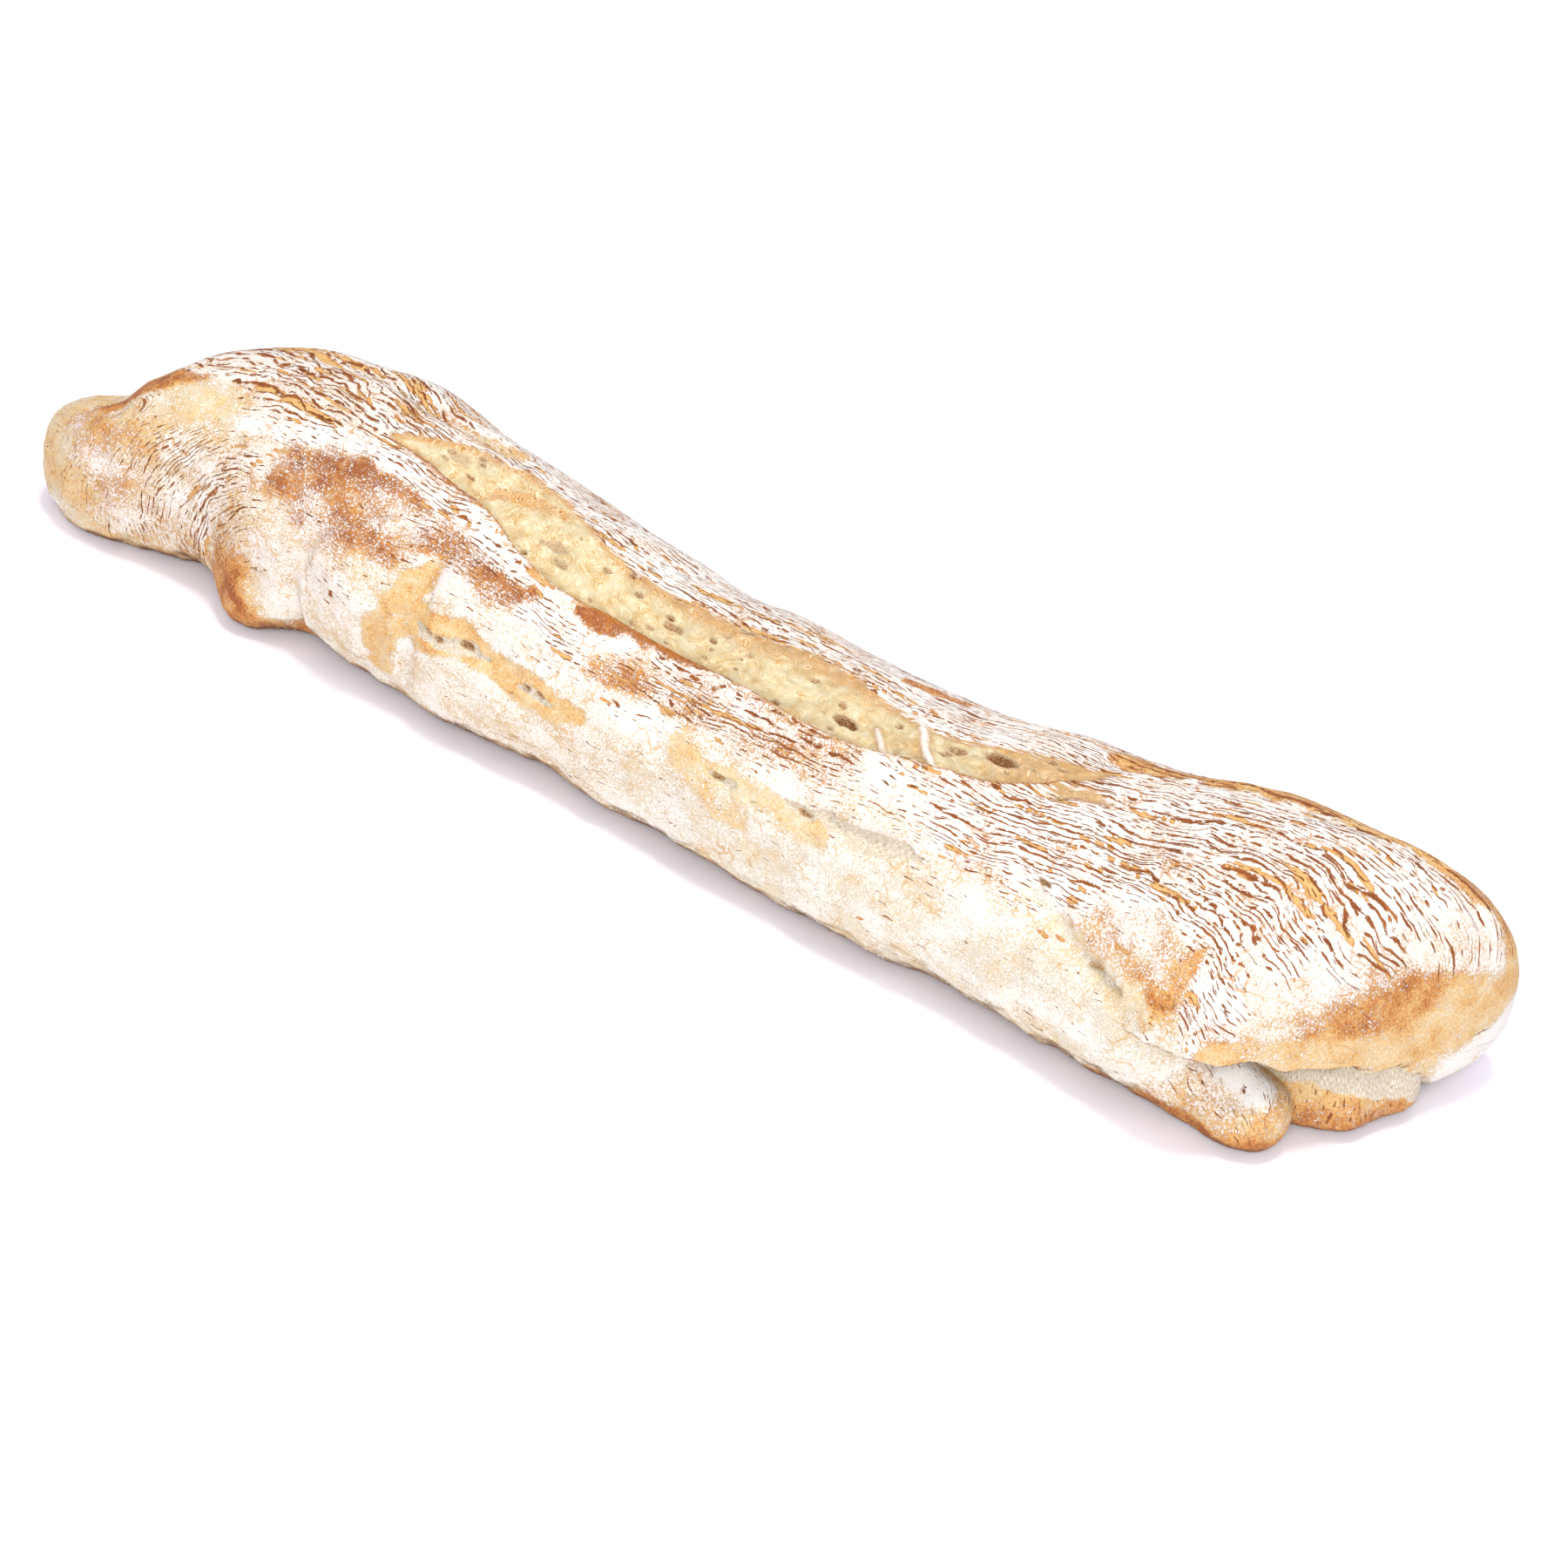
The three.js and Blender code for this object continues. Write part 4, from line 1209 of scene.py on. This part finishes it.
def crust_material():
    n = Nodes("floured crust")
    place = n.scaled(n.add("ShaderNodeTexCoord").outputs["Object"], (MM, MM, MM))
    flow = wavy_stretch(n, place)
    grain = n.noise(place, 0.62, 2.0, 0.7)
    lines = n.either(*(crack_lines(n, flow, grain, **rows) for rows in CRACK_ROWS))

    flour = flour_level(n, place, grain, lines)
    covered = n.step(flour, 0.4, 0.52)
    thick = n.plus(n.times(n.step(flour, 0.45, 0.85), 0.5), 0.5)
    colour = n.mix(n.times(covered, thick), crust_colour(n, place, grain), FLOUR)

    net_colour = n.mix(n.field("cracks"), GOLDEN, CRACK_EDGE)
    colour = n.paint(colour, net_colour, fine_net(n, place), 0.0, 0.05, 0.7)

    split = n.plus(n.field("split"), n.times(n.noise(flow, (2.5, 0.7, 1)), 0.3))
    split_colour = n.ramp(n.plus(split, n.times(grain, 0.2)),
                          [(0.24, CRACK), (0.34, CRACK_EDGE), (0.6, SPLIT), (1.0, GOLDEN)])
    colour = n.paint(colour, split_colour, split, 0.2, 0.34)

    crack = n.step(lines, 0.0, 0.1)
    hue = n.noise(flow, (8, 3, 1), shift=(1, 1, 1))
    deep = n.plus(lines, n.times(hue, 0.14))
    crack_colour = n.ramp(deep, [(0.0, CRACK_EDGE), (0.12, CRACK), (0.36, CRACK_DARK)])
    colour = n.mix(crack, colour, crack_colour)

    edge_noise = n.times(n.noise(place, 1.3, 3.0, 0.6), 0.4)
    streaky = n.times(n.noise(flow, (8, 0.8, 1), shift=(2, 5, 0)), n.field("toast"), 2.2)
    inside = n.plus(n.field("crumb"), edge_noise, streaky)
    crumb, fibre = crumb_colour(n, place, flow, inside, grain)
    colour = n.paint(colour, CRACK_EDGE, inside, -1.0, -0.2, n.plus(n.times(grain, 0.3), 0.35))
    shown = n.step(inside, -0.25, 0.25)
    colour = n.mix(shown, colour, crumb)
    # A dark brown band along the crevice under the lip: painted shade
    crevice = n.plus(n.field("crevice"), edge_noise, n.times(grain, 0.4))
    colour = n.paint(colour, PAINTED_CREVICE_SHADE, crevice, -0.5, 0.6, 0.85)
    # Window skins, and on the tongue under the fold painted shade of the gap there
    pane_and_fold_shade = n.step(n.plus(n.field("window"), edge_noise), -0.3, 0.4)
    colour = n.mix(pane_and_fold_shade, colour, window_and_fold_shade_colour(n, n.vector_field("flow")))
    colour = with_pits(n, colour, grain)

    crusty = n.maths("SUBTRACT", 1.0, n.either(shown, pane_and_fold_shade), clamp=True)
    height = n.plus(n.times(covered, 0.1), n.times(crack, -0.4))
    height = n.plus(n.times(height, crusty), n.times(grain, 0.04), n.times(fibre, 0.04, shown))
    bump = n.add("ShaderNodeBump", {"Height": height, "Strength": 1.0, "Distance": MM})
    rough = n.add("ShaderNodeMapRange", {"Value": covered, "To Min": 0.72, "To Max": 0.95})
    surface = n.add("ShaderNodeBsdfPrincipled", {
        "Base Color": colour, "Roughness": rough.outputs[0], "Normal": bump.outputs[0],
        "Specular IOR Level": 0.25,
    })
    n.add("ShaderNodeOutputMaterial", {"Surface": surface.outputs[0]})
    return n.material


def floor():
    """A plain pale table top."""
    n = Nodes("table")
    surface = n.add("ShaderNodeBsdfPrincipled", {
        "Base Color": PAPER, "Roughness": 0.9, "Specular IOR Level": 0.1,
    })
    n.add("ShaderNodeOutputMaterial", {"Surface": surface.outputs[0]})
    mesh = bpy.data.meshes.new("floor")
    corners = [(FLOOR_REACH * x, FLOOR_REACH * y, 0) for x, y in ((-1, -1), (1, -1), (1, 1), (-1, 1))]
    mesh.from_pydata(corners, [], [(0, 1, 2, 3)])
    mesh.materials.append(n.material)
    table = bpy.data.objects.new("floor", mesh)
    bpy.context.scene.collection.objects.link(table)


def camera():
    """The picture's camera: its heading, tilt and roll, and how far it stands away."""
    heading, tilt, roll = (math.radians(a) for a in (CAMERA_AZIMUTH, CAMERA_TILT, CAMERA_ROLL))
    right = Vector((math.cos(heading), math.sin(heading), 0))
    level_ahead = Vector((-math.sin(heading), math.cos(heading), 0))
    ahead = level_ahead * math.cos(tilt) - Vector((0, 0, math.sin(tilt)))
    up = right.cross(ahead)
    rolled_right = right * math.cos(roll) + up * math.sin(roll)
    rolled_up = up * math.cos(roll) - right * math.sin(roll)
    lens = bpy.data.cameras.new("camera")
    lens.sensor_width = CAMERA_SENSOR
    lens.lens = CAMERA_LENS
    eye = bpy.data.objects.new("camera", lens)
    turn = Matrix((rolled_right, rolled_up, -ahead)).transposed()
    eye.matrix_world = Matrix.Translation(Vector(CAMERA_PLACE) * MM) @ turn.to_4x4()
    bpy.context.scene.collection.objects.link(eye)
    bpy.context.scene.camera = eye


def soft_light(name, place, size, power, colour):
    lamp = bpy.data.lights.new(name, "AREA")
    lamp.shape = "DISK"
    lamp.size = size
    lamp.energy = power
    lamp.color = colour
    light = bpy.data.objects.new(name, lamp)
    light.location = place
    light.rotation_euler = (-Vector(place)).to_track_quat("-Z", "Y").to_euler()
    bpy.context.scene.collection.objects.link(light)


def lighting():
    world = bpy.data.worlds.new("studio")
    world.use_nodes = True
    background = world.node_tree.nodes["Background"]
    background.inputs["Color"].default_value = SKY
    background.inputs["Strength"].default_value = SKY_STRENGTH
    bpy.context.scene.world = world
    for name, light in LIGHTS.items():
        soft_light(name, **light)
    bpy.context.scene.view_settings.view_transform = "Standard"


camera()
lighting()
floor()
bread = loaf()
bread.data.materials.clear()
bread.data.materials.append(crust_material())
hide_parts("loaf")
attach(bread, "root")
